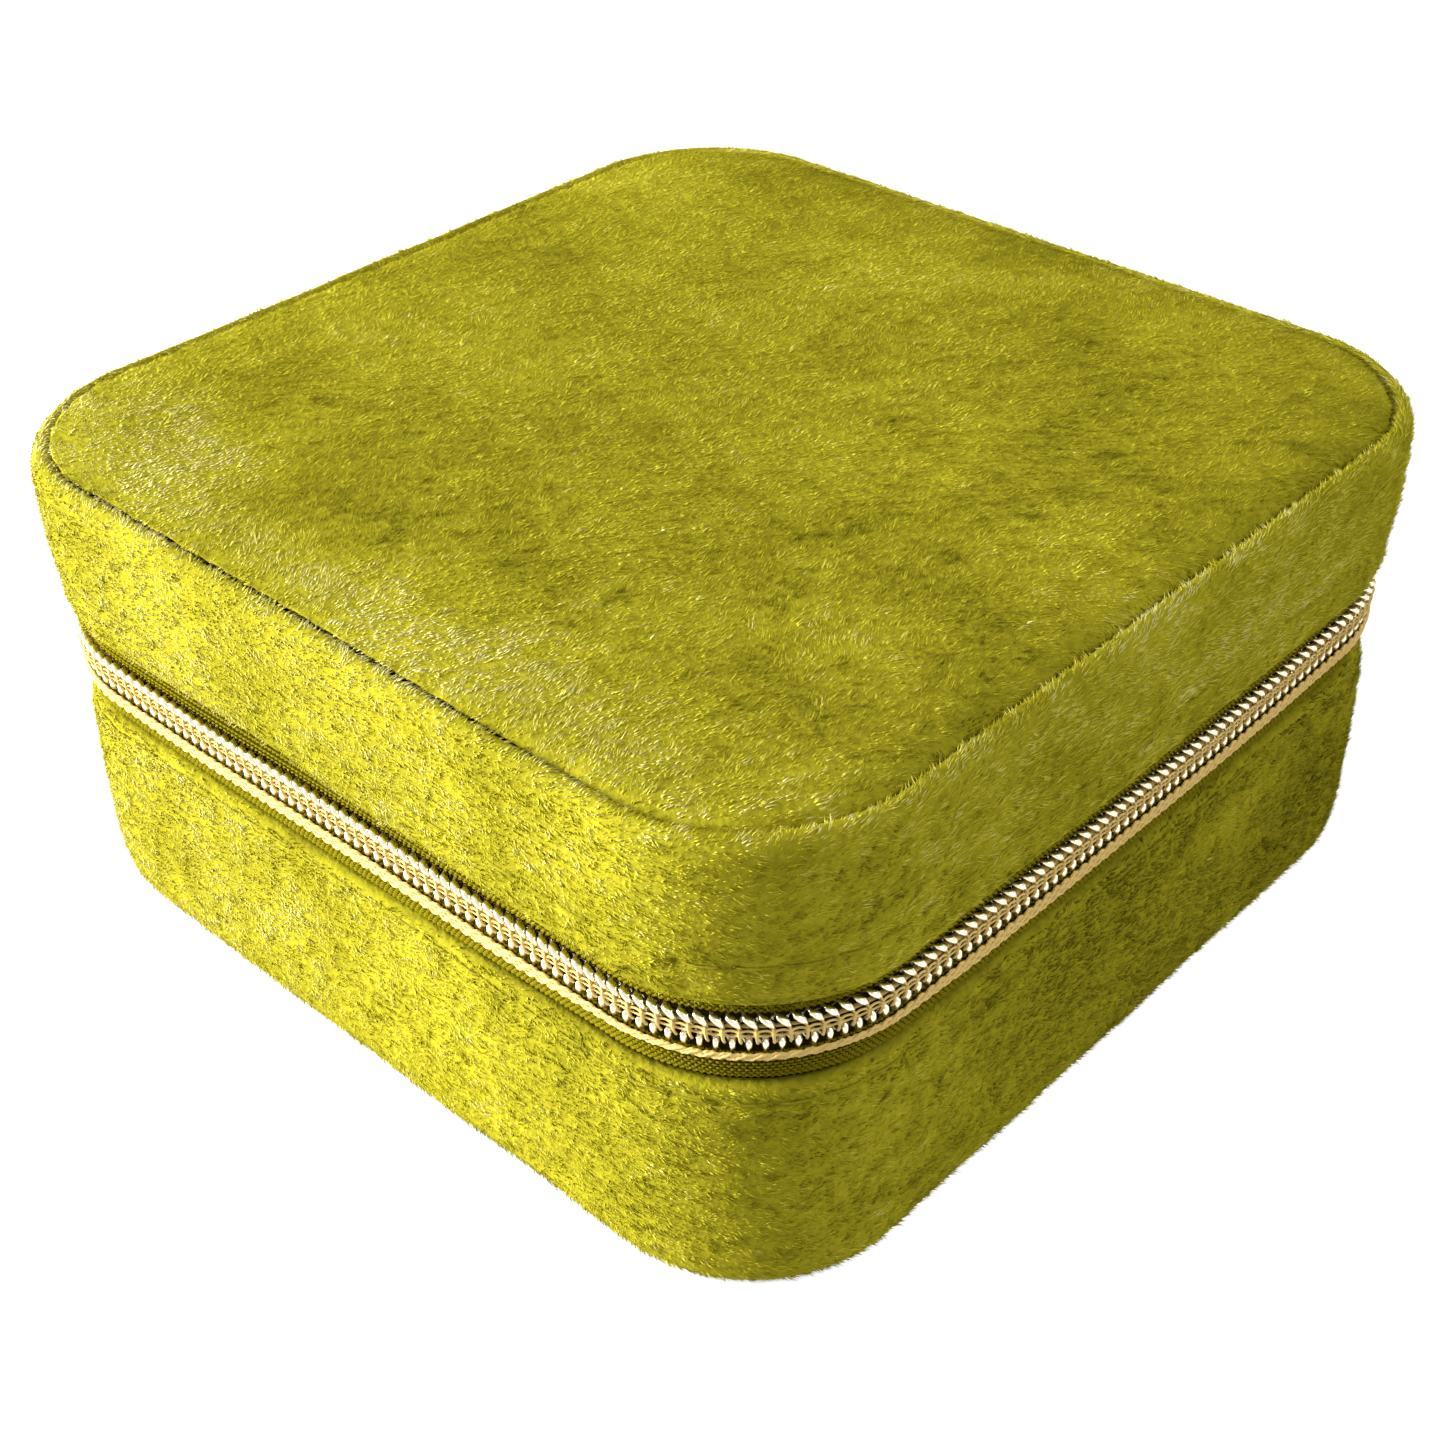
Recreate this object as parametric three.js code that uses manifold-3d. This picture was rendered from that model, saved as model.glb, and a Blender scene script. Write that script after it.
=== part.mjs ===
import * as THREE from 'three';
import { mergeVertices } from 'three/addons/utils/BufferGeometryUtils.js';
import Module from 'manifold-3d';

// A square zip-round travel jewelry case in velvet, standing on its underside.
// Lengths are in millimetres and angles in degrees.
// X runs left to right, Y front to back, Z up, with the origin under the case's centre.
// The lid's hinge is at the back, and the zip's slider is parked on the left side.

// Outer shape
const caseWidth = 100;
const caseDepth = 100;
const caseHeight = 52.4;
const cornerRadius = 16.6;
const bottomEdgeRadius = 4.2;
const closingHeight = 30.8;
const baseBulge = 0.3;
const lidBulge = 0.9;

// Layers of a wall, from the velvet inwards
const coverThickness = 2;
const padThickness = 1.7;
const boardThickness = 1.8;
const liningThickness = 0.8;
const layerGap = 0.15;
const rimGap = 0.6;
const boardChamfer = 1;

// Seams of the top and bottom panels
const seamGap = 0.3;
const topSeamInset = 1.1;
const topCrown = 1.5;
const ridgeRise = 0.35;
const ridgeDepth = 1.7;
const topPadThickness = 1.8;
const panelThickness = 2;

// Zip: two tapes, each with its half of the chain
const chainWidth = 4.8;
const chainSlot = 1.1;
const chainThickness = 2.1;
const chainRound = 0.5;
const tapeThickness = 0.6;
const tapeTuck = 5;
const tapeShownBelow = 3;
const tapeShownAbove = 0.9;
const coverEdgeRoll = 1;
const stopLength = 1.3;
const closedEndSetback = 0.4;

// Velvet hinge strip on the back
const hingeStripWidth = 62;
const hingeStripGap = 0.3;

// Slider, its bridge, and the pull that hangs from it
const sliderLength = 9.5;
const sliderWidth = 7.4;
const sliderTailWidth = 5.8;
const sliderPlate = 1;
const sliderInnerPlate = 0.8;
const sliderGap = 0.15;
const sliderChamfer = 1.4;
const flangeThickness = 0.7;
const postThickness = 0.8;
const postLength = 2.2;
const postSetback = 0.6;
const bridgeBar = 1.2;
const bridgeLength = 7;
const linkWire = 1;
const linkInnerRadius = 1.15;
const linkStraight = 3.5;
const linkPlateGap = 0.2;
const tabThickness = 1;
const tabHoleRadius = 0.9;
const tabEyeRadius = 2;
const tabWidth = 5;
const tabLength = 17;
const tabNeck = 4;
const tabSlotWidth = 2.2;
const tabSlotLength = 7;
const tabSlotSetback = 2.6;

// Inside of the base
const ringAreaWidth = 40;
const ringBoardThickness = 1.8;
const ringRollHeight = 15;
const rollGap = 0.3;
const rollCount = 4;
const compartmentCount = 3;
const partitionThickness = 3;
const partitionHeight = 20;
const wallTopRound = 1;
const dividerThickness = 2.4;
const dividerHeight = 18;
const dividerPlay = 0.45;
const fitGap = 0.15;

// Mirror in the lid
const mirrorSideMargin = 10.2;
const mirrorEndMargin = 12.2;
const mirrorThickness = 1.5;
const mirrorCorner = 5;
const frameWidth = 4;
const frameLip = 1.2;
const frameLipThickness = 0.9;

// Smoothness, in steps
const cornerSteps = 8;
const roundSteps = 12;

const quarterTurn = Math.PI / 2;
const halfWidth = caseWidth / 2;
const halfDepth = caseDepth / 2;

const group = new THREE.Group();
group.name = 'travel_jewelry_case';

const wasm = await Module();
wasm.setup();

const looks = {
  velvet: { color: 0x9c9626, roughness: 0.95, metalness: 0 },
  foam: { color: 0xd8d3c0, roughness: 0.95, metalness: 0 },
  board: { color: 0xa58f6c, roughness: 0.85, metalness: 0 },
  lining: { color: 0x8f8a2a, roughness: 0.95, metalness: 0 },
  tape: { color: 0x8a8336, roughness: 0.9, metalness: 0 },
  chain: { color: 0xd9c47a, roughness: 0.32, metalness: 0.9 },
  metal: { color: 0xd3b467, roughness: 0.28, metalness: 1 },
  mirror: { color: 0xe8ebec, roughness: 0.04, metalness: 1 },
};

function place(name, geometry, look) {
  const mesh = new THREE.Mesh(geometry, new THREE.MeshStandardMaterial(looks[look]));
  mesh.name = name;
  group.add(mesh);
}

// Closed solids from rows of points

function solid(points, faces) {
  const positions = new Float32Array(points.flat());
  const geometry = new THREE.BufferGeometry();
  geometry.setAttribute('position', new THREE.BufferAttribute(positions, 3));
  let volume = 0;
  for (const [a, b, c] of faces) {
    const corner = new THREE.Vector3(...points[a]);
    const side = new THREE.Vector3(...points[b]).cross(new THREE.Vector3(...points[c]));
    volume += corner.dot(side);
  }
  const turned = volume < 0 ? faces.map(([a, b, c]) => [a, c, b]) : faces;
  geometry.setIndex(turned.flat());
  geometry.computeVertexNormals();
  return geometry;
}

// Rings of points of equal length are joined in order. A looped solid joins the last
// ring to the first, and any other gets a flat cap at each end.
function skin(rings, looped) {
  const size = rings[0].length;
  const points = rings.flat();
  const faces = [];
  const joins = looped ? rings.length : rings.length - 1;
  for (let ring = 0; ring < joins; ring += 1) {
    const near = ring * size;
    const far = ((ring + 1) % rings.length) * size;
    for (let i = 0; i < size; i += 1) {
      const next = (i + 1) % size;
      faces.push([near + i, near + next, far + next]);
      faces.push([near + i, far + next, far + i]);
    }
  }
  if (!looped) {
    for (const [ring, turn] of [[0, true], [rings.length - 1, false]]) {
      const middle = points.length;
      const sum = [0, 0, 0];
      for (const point of rings[ring]) {
        point.forEach((value, axis) => { sum[axis] += value / size; });
      }
      points.push(sum);
      for (let i = 0; i < size; i += 1) {
        const here = ring * size + i;
        const next = ring * size + (i + 1) % size;
        faces.push(turn ? [middle, next, here] : [middle, here, next]);
      }
    }
  }
  return solid(points, faces);
}

// A rounded rectangle, counter-clockwise from the middle of its right side's far end
function roundedOutline(halfX, halfY, radius) {
  const points = [];
  const corners = [[1, 1], [-1, 1], [-1, -1], [1, -1]];
  corners.forEach(([sideX, sideY], corner) => {
    for (let step = 0; step <= cornerSteps; step += 1) {
      const angle = quarterTurn * (corner + step / cornerSteps);
      points.push([
        sideX * (halfX - radius) + radius * Math.cos(angle),
        sideY * (halfY - radius) + radius * Math.sin(angle),
      ]);
    }
  });
  return points;
}

// The case's own outline, drawn in by a distance
function outlineAt(inset) {
  const radius = Math.max(cornerRadius - inset, boardChamfer);
  return roundedOutline(halfWidth - inset, halfDepth - inset, radius);
}

function raised(outline, z) {
  return outline.map(([x, y]) => [x, y, z]);
}

// A body of the case's outline whose profile is given as pairs of inset and height
function wall(profile, looped) {
  return skin(profile.map(([inset, z]) => raised(outlineAt(inset), z)), looped);
}

// Where the case's outline runs, with outward normals, from one corner step to another
function pathAround(start, corners, end) {
  const path = [start];
  for (const corner of corners) {
    const sideX = [1, -1, -1, 1][corner];
    const sideY = [1, 1, -1, -1][corner];
    for (let step = 0; step <= cornerSteps; step += 1) {
      const angle = quarterTurn * (corner + step / cornerSteps);
      const normal = [Math.cos(angle), Math.sin(angle)];
      path.push({
        at: [
          sideX * (halfWidth - cornerRadius) + cornerRadius * normal[0],
          sideY * (halfDepth - cornerRadius) + cornerRadius * normal[1],
        ],
        normal,
      });
    }
  }
  path.push(end);
  return path;
}

// A strip along such a path, whose section is given as pairs of inset and height
function strip(path, section) {
  const rings = path.map(({ at, normal }) => section.map(([inset, z]) => [
    at[0] - normal[0] * inset,
    at[1] - normal[1] * inset,
    z,
  ]));
  return skin(rings, false);
}

// A prism of a flat outline that may have holes, standing on z = 0
function prism(outline, height, holes = []) {
  const shape = new THREE.Shape(outline.map(([x, y]) => new THREE.Vector2(x, y)));
  for (const hole of holes) {
    shape.holes.push(new THREE.Path(hole.map(([x, y]) => new THREE.Vector2(x, y))));
  }
  return new THREE.ExtrudeGeometry(shape, { depth: height, bevelEnabled: false });
}

function circle(centreX, centreY, radius) {
  const points = [];
  for (let step = 0; step < roundSteps; step += 1) {
    const angle = 4 * quarterTurn * step / roundSteps;
    points.push([centreX + radius * Math.cos(angle), centreY + radius * Math.sin(angle)]);
  }
  return points;
}

function block(low, high) {
  const size = high.map((value, axis) => value - low[axis]);
  const geometry = new THREE.BoxGeometry(...size);
  geometry.translate(...high.map((value, axis) => (value + low[axis]) / 2));
  return geometry;
}

// Joining and sharing of closed solids

function toManifold(geometry) {
  let plain = geometry.clone();
  for (const name of ['normal', 'uv']) {
    plain.deleteAttribute(name);
  }
  plain = mergeVertices(plain);
  return new wasm.Manifold(new wasm.Mesh({
    numProp: 3,
    vertProperties: new Float32Array(plain.attributes.position.array),
    triVerts: new Uint32Array(plain.index.array),
  }));
}

function toGeometry(manifold) {
  const mesh = manifold.getMesh();
  const geometry = new THREE.BufferGeometry();
  geometry.setAttribute('position', new THREE.BufferAttribute(mesh.vertProperties, 3));
  geometry.setIndex(new THREE.BufferAttribute(mesh.triVerts, 1));
  geometry.computeVertexNormals();
  return geometry;
}

function joined(geometries) {
  const parts = geometries.map(toManifold);
  return toGeometry(parts.slice(1).reduce((whole, part) => whole.add(part), parts[0]));
}

function shared(geometry, tool) {
  return toGeometry(toManifold(geometry).intersect(toManifold(tool)));
}

// Heights and insets that follow from the sizes above

const padInset = coverThickness + layerGap;
const boardInset = padInset + padThickness + layerGap;
const liningInset = boardInset + boardThickness + layerGap;
const insideInset = liningInset + liningThickness;
const chainLow = closingHeight - chainWidth / 2;
const chainHigh = closingHeight + chainWidth / 2;
const baseCoverTop = chainLow - tapeShownBelow;
const lidCoverLow = chainHigh + tapeShownAbove;
const baseTapeLow = baseCoverTop - tapeTuck;
const lidTapeHigh = lidCoverLow + tapeTuck;
const baseRim = closingHeight - rimGap / 2;
const lidRim = closingHeight + rimGap / 2;
const baseBoardLow = coverThickness + layerGap;
const baseBoardFloor = baseBoardLow + boardThickness;
const baseLiningLow = baseBoardFloor + layerGap;
const insideFloor = baseLiningLow + liningThickness;
const grooveHeight = caseHeight - topCrown;
const ridgeTop = grooveHeight + ridgeRise;
const panelLow = grooveHeight - panelThickness;
const topPadHigh = panelLow - layerGap;
const topPadLow = topPadHigh - topPadThickness;
const lidBoardTop = topPadLow - layerGap;
const lidBoardInner = lidBoardTop - boardThickness;
const lidLiningTop = lidBoardInner - layerGap;
const insideCeiling = lidLiningTop - liningThickness;
const tapeOuter = chainThickness + layerGap;
const tapeInner = tapeOuter + tapeThickness;
const padBehindTape = tapeInner + layerGap;
const sliderRoom = sliderWidth / 2 + sliderGap;
const basePadTop = Math.min(baseCoverTop, closingHeight - sliderRoom);
const lidPadLow = Math.max(lidCoverLow, closingHeight + sliderRoom);

// Velvet covers of the base: a side band that curls under, and a bottom panel

const curl = [];
for (let step = 0; step <= cornerSteps / 2; step += 1) {
  const angle = quarterTurn * step / (cornerSteps / 2);
  curl.push([Math.sin(angle), Math.cos(angle)]);
}

function quarterRound(centreInset, centreZ, radius) {
  return curl.map(([out, down]) => [centreInset - radius * out, centreZ - radius * down]);
}

const baseBandHeight = baseCoverTop - bottomEdgeRadius;
const baseBandOuter = [
  ...quarterRound(bottomEdgeRadius, bottomEdgeRadius, bottomEdgeRadius),
  [-baseBulge, bottomEdgeRadius + baseBandHeight / 3],
  [-baseBulge, bottomEdgeRadius + baseBandHeight / 2],
  [0, baseCoverTop - coverEdgeRoll - coverEdgeRoll],
  [coverEdgeRoll / 3, baseCoverTop - coverEdgeRoll / 2],
  [coverEdgeRoll, baseCoverTop],
];
const curlInner = quarterRound(bottomEdgeRadius, bottomEdgeRadius, bottomEdgeRadius - coverThickness);
place('base_side_cover', wall([
  ...baseBandOuter,
  [coverThickness, baseCoverTop],
  ...curlInner.reverse(),
], true), 'velvet');
place('base_bottom_cover', wall([
  [bottomEdgeRadius + seamGap, 0],
  [bottomEdgeRadius + seamGap, coverThickness],
], false), 'velvet');

// Foam, board and lining of the base

const basePadLow = bottomEdgeRadius + layerGap;
place('base_side_pad', wall([
  [padInset, basePadLow],
  [padInset, baseTapeLow - layerGap],
  [padBehindTape, baseTapeLow - layerGap],
  [padBehindTape, basePadTop],
  [padInset + padThickness, basePadTop],
  [padInset + padThickness, basePadLow],
], true), 'foam');
place('base_board', wall([
  [boardInset + boardChamfer, baseBoardLow],
  [boardInset, baseBoardLow + boardChamfer],
  [boardInset, baseRim],
  [boardInset + boardThickness, baseRim],
  [boardInset + boardThickness, baseBoardFloor],
], false), 'board');
place('base_lining', wall([
  [liningInset, baseLiningLow],
  [liningInset, baseRim],
  [insideInset, baseRim],
  [insideInset, insideFloor],
], false), 'lining');

// Velvet covers of the lid: a side band that rises to a ridge along the top seam, and
// the crowned panel that is sewn in behind the ridge

const lidBandHeight = ridgeTop - ridgeDepth - lidCoverLow;
place('lid_side_cover', wall([
  [coverEdgeRoll, lidCoverLow],
  [coverEdgeRoll / 3, lidCoverLow + coverEdgeRoll / 2],
  [0, lidCoverLow + coverEdgeRoll + coverEdgeRoll],
  [-lidBulge * 2 / 3, lidCoverLow + lidBandHeight / 3],
  [-lidBulge, lidCoverLow + lidBandHeight * 2 / 3],
  [-lidBulge, ridgeTop - ridgeDepth],
  [-lidBulge * 2 / 3, ridgeTop - ridgeDepth / 2],
  [0, ridgeTop - ridgeRise / 4],
  [topSeamInset / 2, ridgeTop],
  [topSeamInset, grooveHeight],
  [topSeamInset, panelLow - layerGap],
  [coverThickness, panelLow - layerGap],
  [coverThickness, lidCoverLow],
], true), 'velvet');

// Each step of the crown is a share of the way to the middle and of the crown's rise
const crownShares = [[1 / 24, 1 / 3], [1 / 8, 2 / 3], [1 / 4, 7 / 8], [1 / 2, 1]];
const panelInset = topSeamInset + seamGap;
const panelRun = Math.min(halfWidth, halfDepth) - panelInset;
function panelRing(share, z) {
  const inset = panelInset + panelRun * share;
  const radius = (cornerRadius - panelInset) * (1 - share);
  return raised(roundedOutline(halfWidth - inset, halfDepth - inset, radius), z);
}
place('lid_top_cover', skin([
  panelRing(0, panelLow),
  panelRing(0, grooveHeight),
  ...crownShares.map(([share, rise]) => panelRing(share, grooveHeight + topCrown * rise)),
], false), 'velvet');

// Foam, board and lining of the lid

place('lid_top_pad', wall([
  [boardInset, topPadLow],
  [boardInset, topPadHigh],
], false), 'foam');
const lidPadHigh = panelLow - layerGap;
place('lid_side_pad', wall([
  [padBehindTape, lidPadLow],
  [padBehindTape, lidTapeHigh + layerGap],
  [padInset, lidTapeHigh + layerGap],
  [padInset, lidPadHigh],
  [padInset + padThickness, lidPadHigh],
  [padInset + padThickness, lidPadLow],
], true), 'foam');
place('lid_board', wall([
  [boardInset + boardThickness, lidBoardInner],
  [boardInset + boardThickness, lidRim],
  [boardInset, lidRim],
  [boardInset, lidBoardTop - boardChamfer],
  [boardInset + boardChamfer, lidBoardTop],
], false), 'board');
place('lid_lining', wall([
  [insideInset, insideCeiling],
  [insideInset, lidRim],
  [liningInset, lidRim],
  [liningInset, lidLiningTop],
], false), 'lining');

// Zip

const halfStrip = hingeStripWidth / 2;
const tapePath = pathAround(
  { at: [-halfStrip - hingeStripGap, halfDepth], normal: [0, 1] },
  [1, 2, 3, 0],
  { at: [halfStrip + hingeStripGap, halfDepth], normal: [0, 1] },
);
const closedEnd = halfDepth - cornerRadius - closedEndSetback;
const chainEnd = closedEnd - stopLength - layerGap;
const chainPath = pathAround(
  { at: [-halfWidth, chainEnd], normal: [-1, 0] },
  [2, 3, 0],
  { at: [halfStrip + hingeStripGap, halfDepth], normal: [0, 1] },
);
const stopPath = [
  { at: [-halfWidth, closedEnd], normal: [-1, 0] },
  { at: [-halfWidth, closedEnd - stopLength], normal: [-1, 0] },
];

function band(outer, inner, low, high) {
  return [[outer, low], [outer, high], [inner, high], [inner, low]];
}

function chainSection(low, high) {
  return [
    [chainRound, low],
    [0, low + chainRound],
    [0, high - chainRound],
    [chainRound, high],
    [chainThickness, high],
    [chainThickness, low],
  ];
}

const slotLow = closingHeight - chainSlot / 2;
const slotHigh = closingHeight + chainSlot / 2;
place('zip_tape_base', strip(tapePath, band(tapeOuter, tapeInner, baseTapeLow, slotLow)), 'tape');
place('zip_tape_lid', strip(tapePath, band(tapeOuter, tapeInner, slotHigh, lidTapeHigh)), 'tape');
place('zip_chain_base', strip(chainPath, chainSection(chainLow, slotLow)), 'chain');
place('zip_chain_lid', strip(chainPath, chainSection(slotHigh, chainHigh)), 'chain');
place('zip_stop_base', strip(stopPath, chainSection(chainLow, slotLow)), 'metal');
place('zip_stop_lid', strip(stopPath, chainSection(slotHigh, chainHigh)), 'metal');

// Hinge strip, cut at the fold into a leaf on each half

function hingeLeaf(low, high) {
  return block(
    [-halfStrip, halfDepth - tapeInner, low],
    [halfStrip, halfDepth, high],
  );
}
place('hinge_strip_base', hingeLeaf(baseCoverTop + hingeStripGap, baseRim), 'velvet');
place('hinge_strip_lid', hingeLeaf(lidRim, lidCoverLow - hingeStripGap), 'velvet');

// Slider, parked at the closed end on the left side. Its plates lie either side of
// the chain, and its post stands in the slot between the chain's halves.

const sliderFront = chainEnd;
const sliderBack = sliderFront - sliderLength;
const sliderMiddle = (sliderFront + sliderBack) / 2;
const plateInner = -(halfWidth + sliderGap);
const plateOuter = plateInner - sliderPlate;
const innerPlateOuter = -(halfWidth - tapeInner - sliderGap);
const innerPlateInner = innerPlateOuter + sliderInnerPlate;

// An outline drawn in Y and Z becomes a plate that is square to X
function plateAcross(outline, fromX, toX, holes = []) {
  const geometry = prism(outline, toX - fromX, holes);
  geometry.rotateX(quarterTurn);
  geometry.rotateZ(quarterTurn);
  geometry.translate(fromX, 0, 0);
  return geometry;
}

const wide = sliderWidth / 2;
const narrow = sliderTailWidth / 2;
const sliderOutline = [
  [sliderBack, closingHeight - narrow],
  [sliderFront - sliderChamfer - sliderChamfer, closingHeight - wide],
  [sliderFront - sliderChamfer, closingHeight - wide],
  [sliderFront, closingHeight - wide + sliderChamfer],
  [sliderFront, closingHeight + wide - sliderChamfer],
  [sliderFront - sliderChamfer, closingHeight + wide],
  [sliderFront - sliderChamfer - sliderChamfer, closingHeight + wide],
  [sliderBack, closingHeight + narrow],
];
const postFront = sliderFront - postSetback;
const flangeHigh = chainLow - sliderGap;
place('slider_body', joined([
  plateAcross(sliderOutline, plateOuter, plateInner),
  plateAcross(sliderOutline, innerPlateOuter, innerPlateInner),
  block(
    [plateOuter + sliderPlate / 2, postFront - postLength, closingHeight - postThickness / 2],
    [innerPlateOuter + sliderInnerPlate / 2, postFront, closingHeight + postThickness / 2],
  ),
  block(
    [plateInner - sliderPlate / 2, sliderBack, flangeHigh - flangeThickness],
    [-(halfWidth - chainThickness), sliderFront - sliderChamfer, flangeHigh],
  ),
]), 'metal');

const linkOuterRadius = linkInnerRadius + linkWire;
const linkAxisX = plateOuter - linkPlateGap - linkOuterRadius;
const barInner = linkAxisX + bridgeBar / 2;
const barOuter = linkAxisX - bridgeBar / 2;
const legLength = bridgeBar;
function bridgePiece(fromX, toX, fromY, toY) {
  return block(
    [fromX, fromY, closingHeight - bridgeBar / 2],
    [toX, toY, closingHeight + bridgeBar / 2],
  );
}
const bridgeLow = sliderMiddle - bridgeLength / 2;
const bridgeHigh = sliderMiddle + bridgeLength / 2;
place('slider_bridge', joined([
  bridgePiece(barOuter, barInner, bridgeLow, bridgeHigh),
  bridgePiece(barOuter, plateOuter, bridgeLow, bridgeLow + legLength),
  bridgePiece(barOuter, plateOuter, bridgeHigh - legLength, bridgeHigh),
]), 'metal');

// The link's ring stands across the bridge, hung round its bar

function stadium(radius) {
  const points = [];
  for (let step = 0; step <= roundSteps; step += 1) {
    const angle = 2 * quarterTurn * step / roundSteps;
    points.push([radius * Math.cos(angle), radius * Math.sin(angle)]);
  }
  for (let step = 0; step <= roundSteps; step += 1) {
    const angle = 2 * quarterTurn * (1 + step / roundSteps);
    points.push([radius * Math.cos(angle), radius * Math.sin(angle) - linkStraight]);
  }
  return points;
}
const link = prism(stadium(linkOuterRadius), linkWire, [stadium(linkInnerRadius)]);
link.rotateX(quarterTurn);
link.translate(linkAxisX, sliderMiddle + linkWire / 2, closingHeight);
place('pull_link', link, 'metal');

// The tab hangs flat along the side, its eye round the bottom of the link

const eyeZ = closingHeight - linkStraight - linkInnerRadius - linkWire / 2;
const tabEnd = eyeZ - tabLength;
const tabOutline = [];
for (let step = 0; step <= roundSteps; step += 1) {
  const angle = 2 * quarterTurn * step / roundSteps;
  tabOutline.push([
    sliderMiddle + tabEyeRadius * Math.cos(angle),
    eyeZ + tabEyeRadius * Math.sin(angle),
  ]);
}
tabOutline.push([sliderMiddle - tabWidth / 2, eyeZ - tabNeck]);
for (let step = 0; step <= roundSteps; step += 1) {
  const angle = 2 * quarterTurn * (1 + step / roundSteps);
  tabOutline.push([
    sliderMiddle + tabWidth / 2 * Math.cos(angle),
    tabEnd + tabWidth / 2 + tabWidth / 2 * Math.sin(angle),
  ]);
}
tabOutline.push([sliderMiddle + tabWidth / 2, eyeZ - tabNeck]);
const slotRadius = tabSlotWidth / 2;
const tabSlot = [];
for (let step = 0; step <= roundSteps; step += 1) {
  const angle = 2 * quarterTurn * (1 + step / roundSteps);
  tabSlot.push([
    sliderMiddle + slotRadius * Math.cos(angle),
    tabEnd + tabSlotSetback + slotRadius * (1 + Math.sin(angle)),
  ]);
}
for (let step = 0; step <= roundSteps; step += 1) {
  const angle = 2 * quarterTurn * step / roundSteps;
  tabSlot.push([
    sliderMiddle + slotRadius * Math.cos(angle),
    tabEnd + tabSlotSetback + tabSlotLength - slotRadius * (1 - Math.sin(angle)),
  ]);
}
place('pull_tab', plateAcross(
  tabOutline,
  linkAxisX - tabThickness / 2,
  linkAxisX + tabThickness / 2,
  [circle(sliderMiddle, eyeZ, tabHoleRadius), tabSlot],
), 'metal');

// Inside of the base. The room for loose pieces is the lining's inside less a fit gap, and a
// divider that lifts out has some more play at the wall.

const roomInset = insideInset + fitGap;
const roomX = halfWidth - roomInset;
const roomY = halfDepth - roomInset;
const roomFloor = insideFloor + fitGap;
const room = prism(outlineAt(roomInset), caseHeight);
const ringBoardTop = roomFloor + ringBoardThickness;
const ringAreaHigh = ringAreaWidth - roomX;

place('ring_board', shared(
  block([-roomX, -roomY, roomFloor], [ringAreaHigh, roomY, ringBoardTop]),
  room,
), 'board');

// Ring rolls: side by side from left to right, each with a round top
const rollWidth = ringAreaWidth / rollCount;
const rollRadius = (rollWidth - rollGap) / 2;
const rollLow = ringBoardTop + fitGap;
const rollShoulder = rollLow + ringRollHeight - rollRadius;
for (let roll = 0; roll < rollCount; roll += 1) {
  const middle = -roomX + rollWidth * (roll + 1 / 2);
  const section = [[middle - rollRadius, rollLow], [middle + rollRadius, rollLow]];
  for (let step = 0; step <= roundSteps; step += 1) {
    const angle = 2 * quarterTurn * step / roundSteps;
    section.push([
      middle + rollRadius * Math.cos(angle),
      rollShoulder + rollRadius * Math.sin(angle),
    ]);
  }
  const body = prism(section, roomY + roomY);
  body.rotateX(quarterTurn);
  body.translate(0, roomY, 0);
  place(`ring_roll_${roll + 1}`, shared(body, room), 'lining');
}

// A padded wall with a rounded top edge, long in Y
function paddedWall(thickness, length, low, high) {
  const half = thickness / 2;
  const section = [
    [-half, low],
    [half, low],
    [half, high - wallTopRound],
    [half - wallTopRound / 3, high - wallTopRound / 3],
    [half - wallTopRound, high],
    [wallTopRound - half, high],
    [wallTopRound / 3 - half, high - wallTopRound / 3],
    [-half, high - wallTopRound],
  ];
  const geometry = prism(section, length);
  geometry.rotateX(quarterTurn);
  geometry.translate(0, length / 2, 0);
  return geometry;
}

const partitionX = ringAreaHigh + fitGap + partitionThickness / 2;
const partition = paddedWall(
  partitionThickness, roomY + roomY, roomFloor, roomFloor + partitionHeight,
);
partition.translate(partitionX, 0, 0);
place('partition', shared(partition, room), 'lining');

const dividerLow = partitionX + partitionThickness / 2 + fitGap;
const dividerLength = roomX - dividerPlay - dividerLow;
for (const [name, side] of [['divider_front', -1], ['divider_back', 1]]) {
  const divider = paddedWall(
    dividerThickness, dividerLength, roomFloor, roomFloor + dividerHeight,
  );
  divider.rotateZ(quarterTurn);
  divider.translate(dividerLow + dividerLength / 2, side * roomY / compartmentCount, 0);
  place(name, divider, 'lining');
}

// Mirror in the lid, held against the lining by its frame's lip

const glassHigh = insideCeiling - fitGap;
const glassLow = glassHigh - mirrorThickness;
const glassX = halfWidth - insideInset - mirrorSideMargin;
const glassY = halfDepth - insideInset - mirrorEndMargin;
place('mirror', skin([
  raised(roundedOutline(glassX, glassY, mirrorCorner), glassLow),
  raised(roundedOutline(glassX, glassY, mirrorCorner), glassHigh),
], false), 'mirror');

function frameRing(growth, z) {
  return raised(roundedOutline(glassX + growth, glassY + growth, mirrorCorner + growth), z);
}
const lipTop = glassLow - fitGap;
const frameGrowth = frameWidth - frameLip;
place('mirror_frame', skin([
  frameRing(fitGap, glassHigh),
  frameRing(fitGap, lipTop),
  frameRing(-frameLip, lipTop),
  frameRing(-frameLip, lipTop - frameLipThickness),
  frameRing(frameGrowth, lipTop - frameLipThickness),
  frameRing(frameGrowth, glassHigh),
], true), 'lining');

export default group;
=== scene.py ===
"""Travel jewelry case: olive velvet over wadding and board, closed by a gold coil zip.

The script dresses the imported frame. Lengths are in millimetres in the code and are turned into
metres when a mesh is made. A place on the side walls is given by its way round the outline,
which starts at the middle of the back and passes left, front and right, by its inset from the
outline and by its height.
"""
import math
import bmesh
import bpy
import numpy as np
from bpy.props import FloatProperty, FloatVectorProperty, IntProperty, PointerProperty
from mathutils import Matrix, Vector


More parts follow.
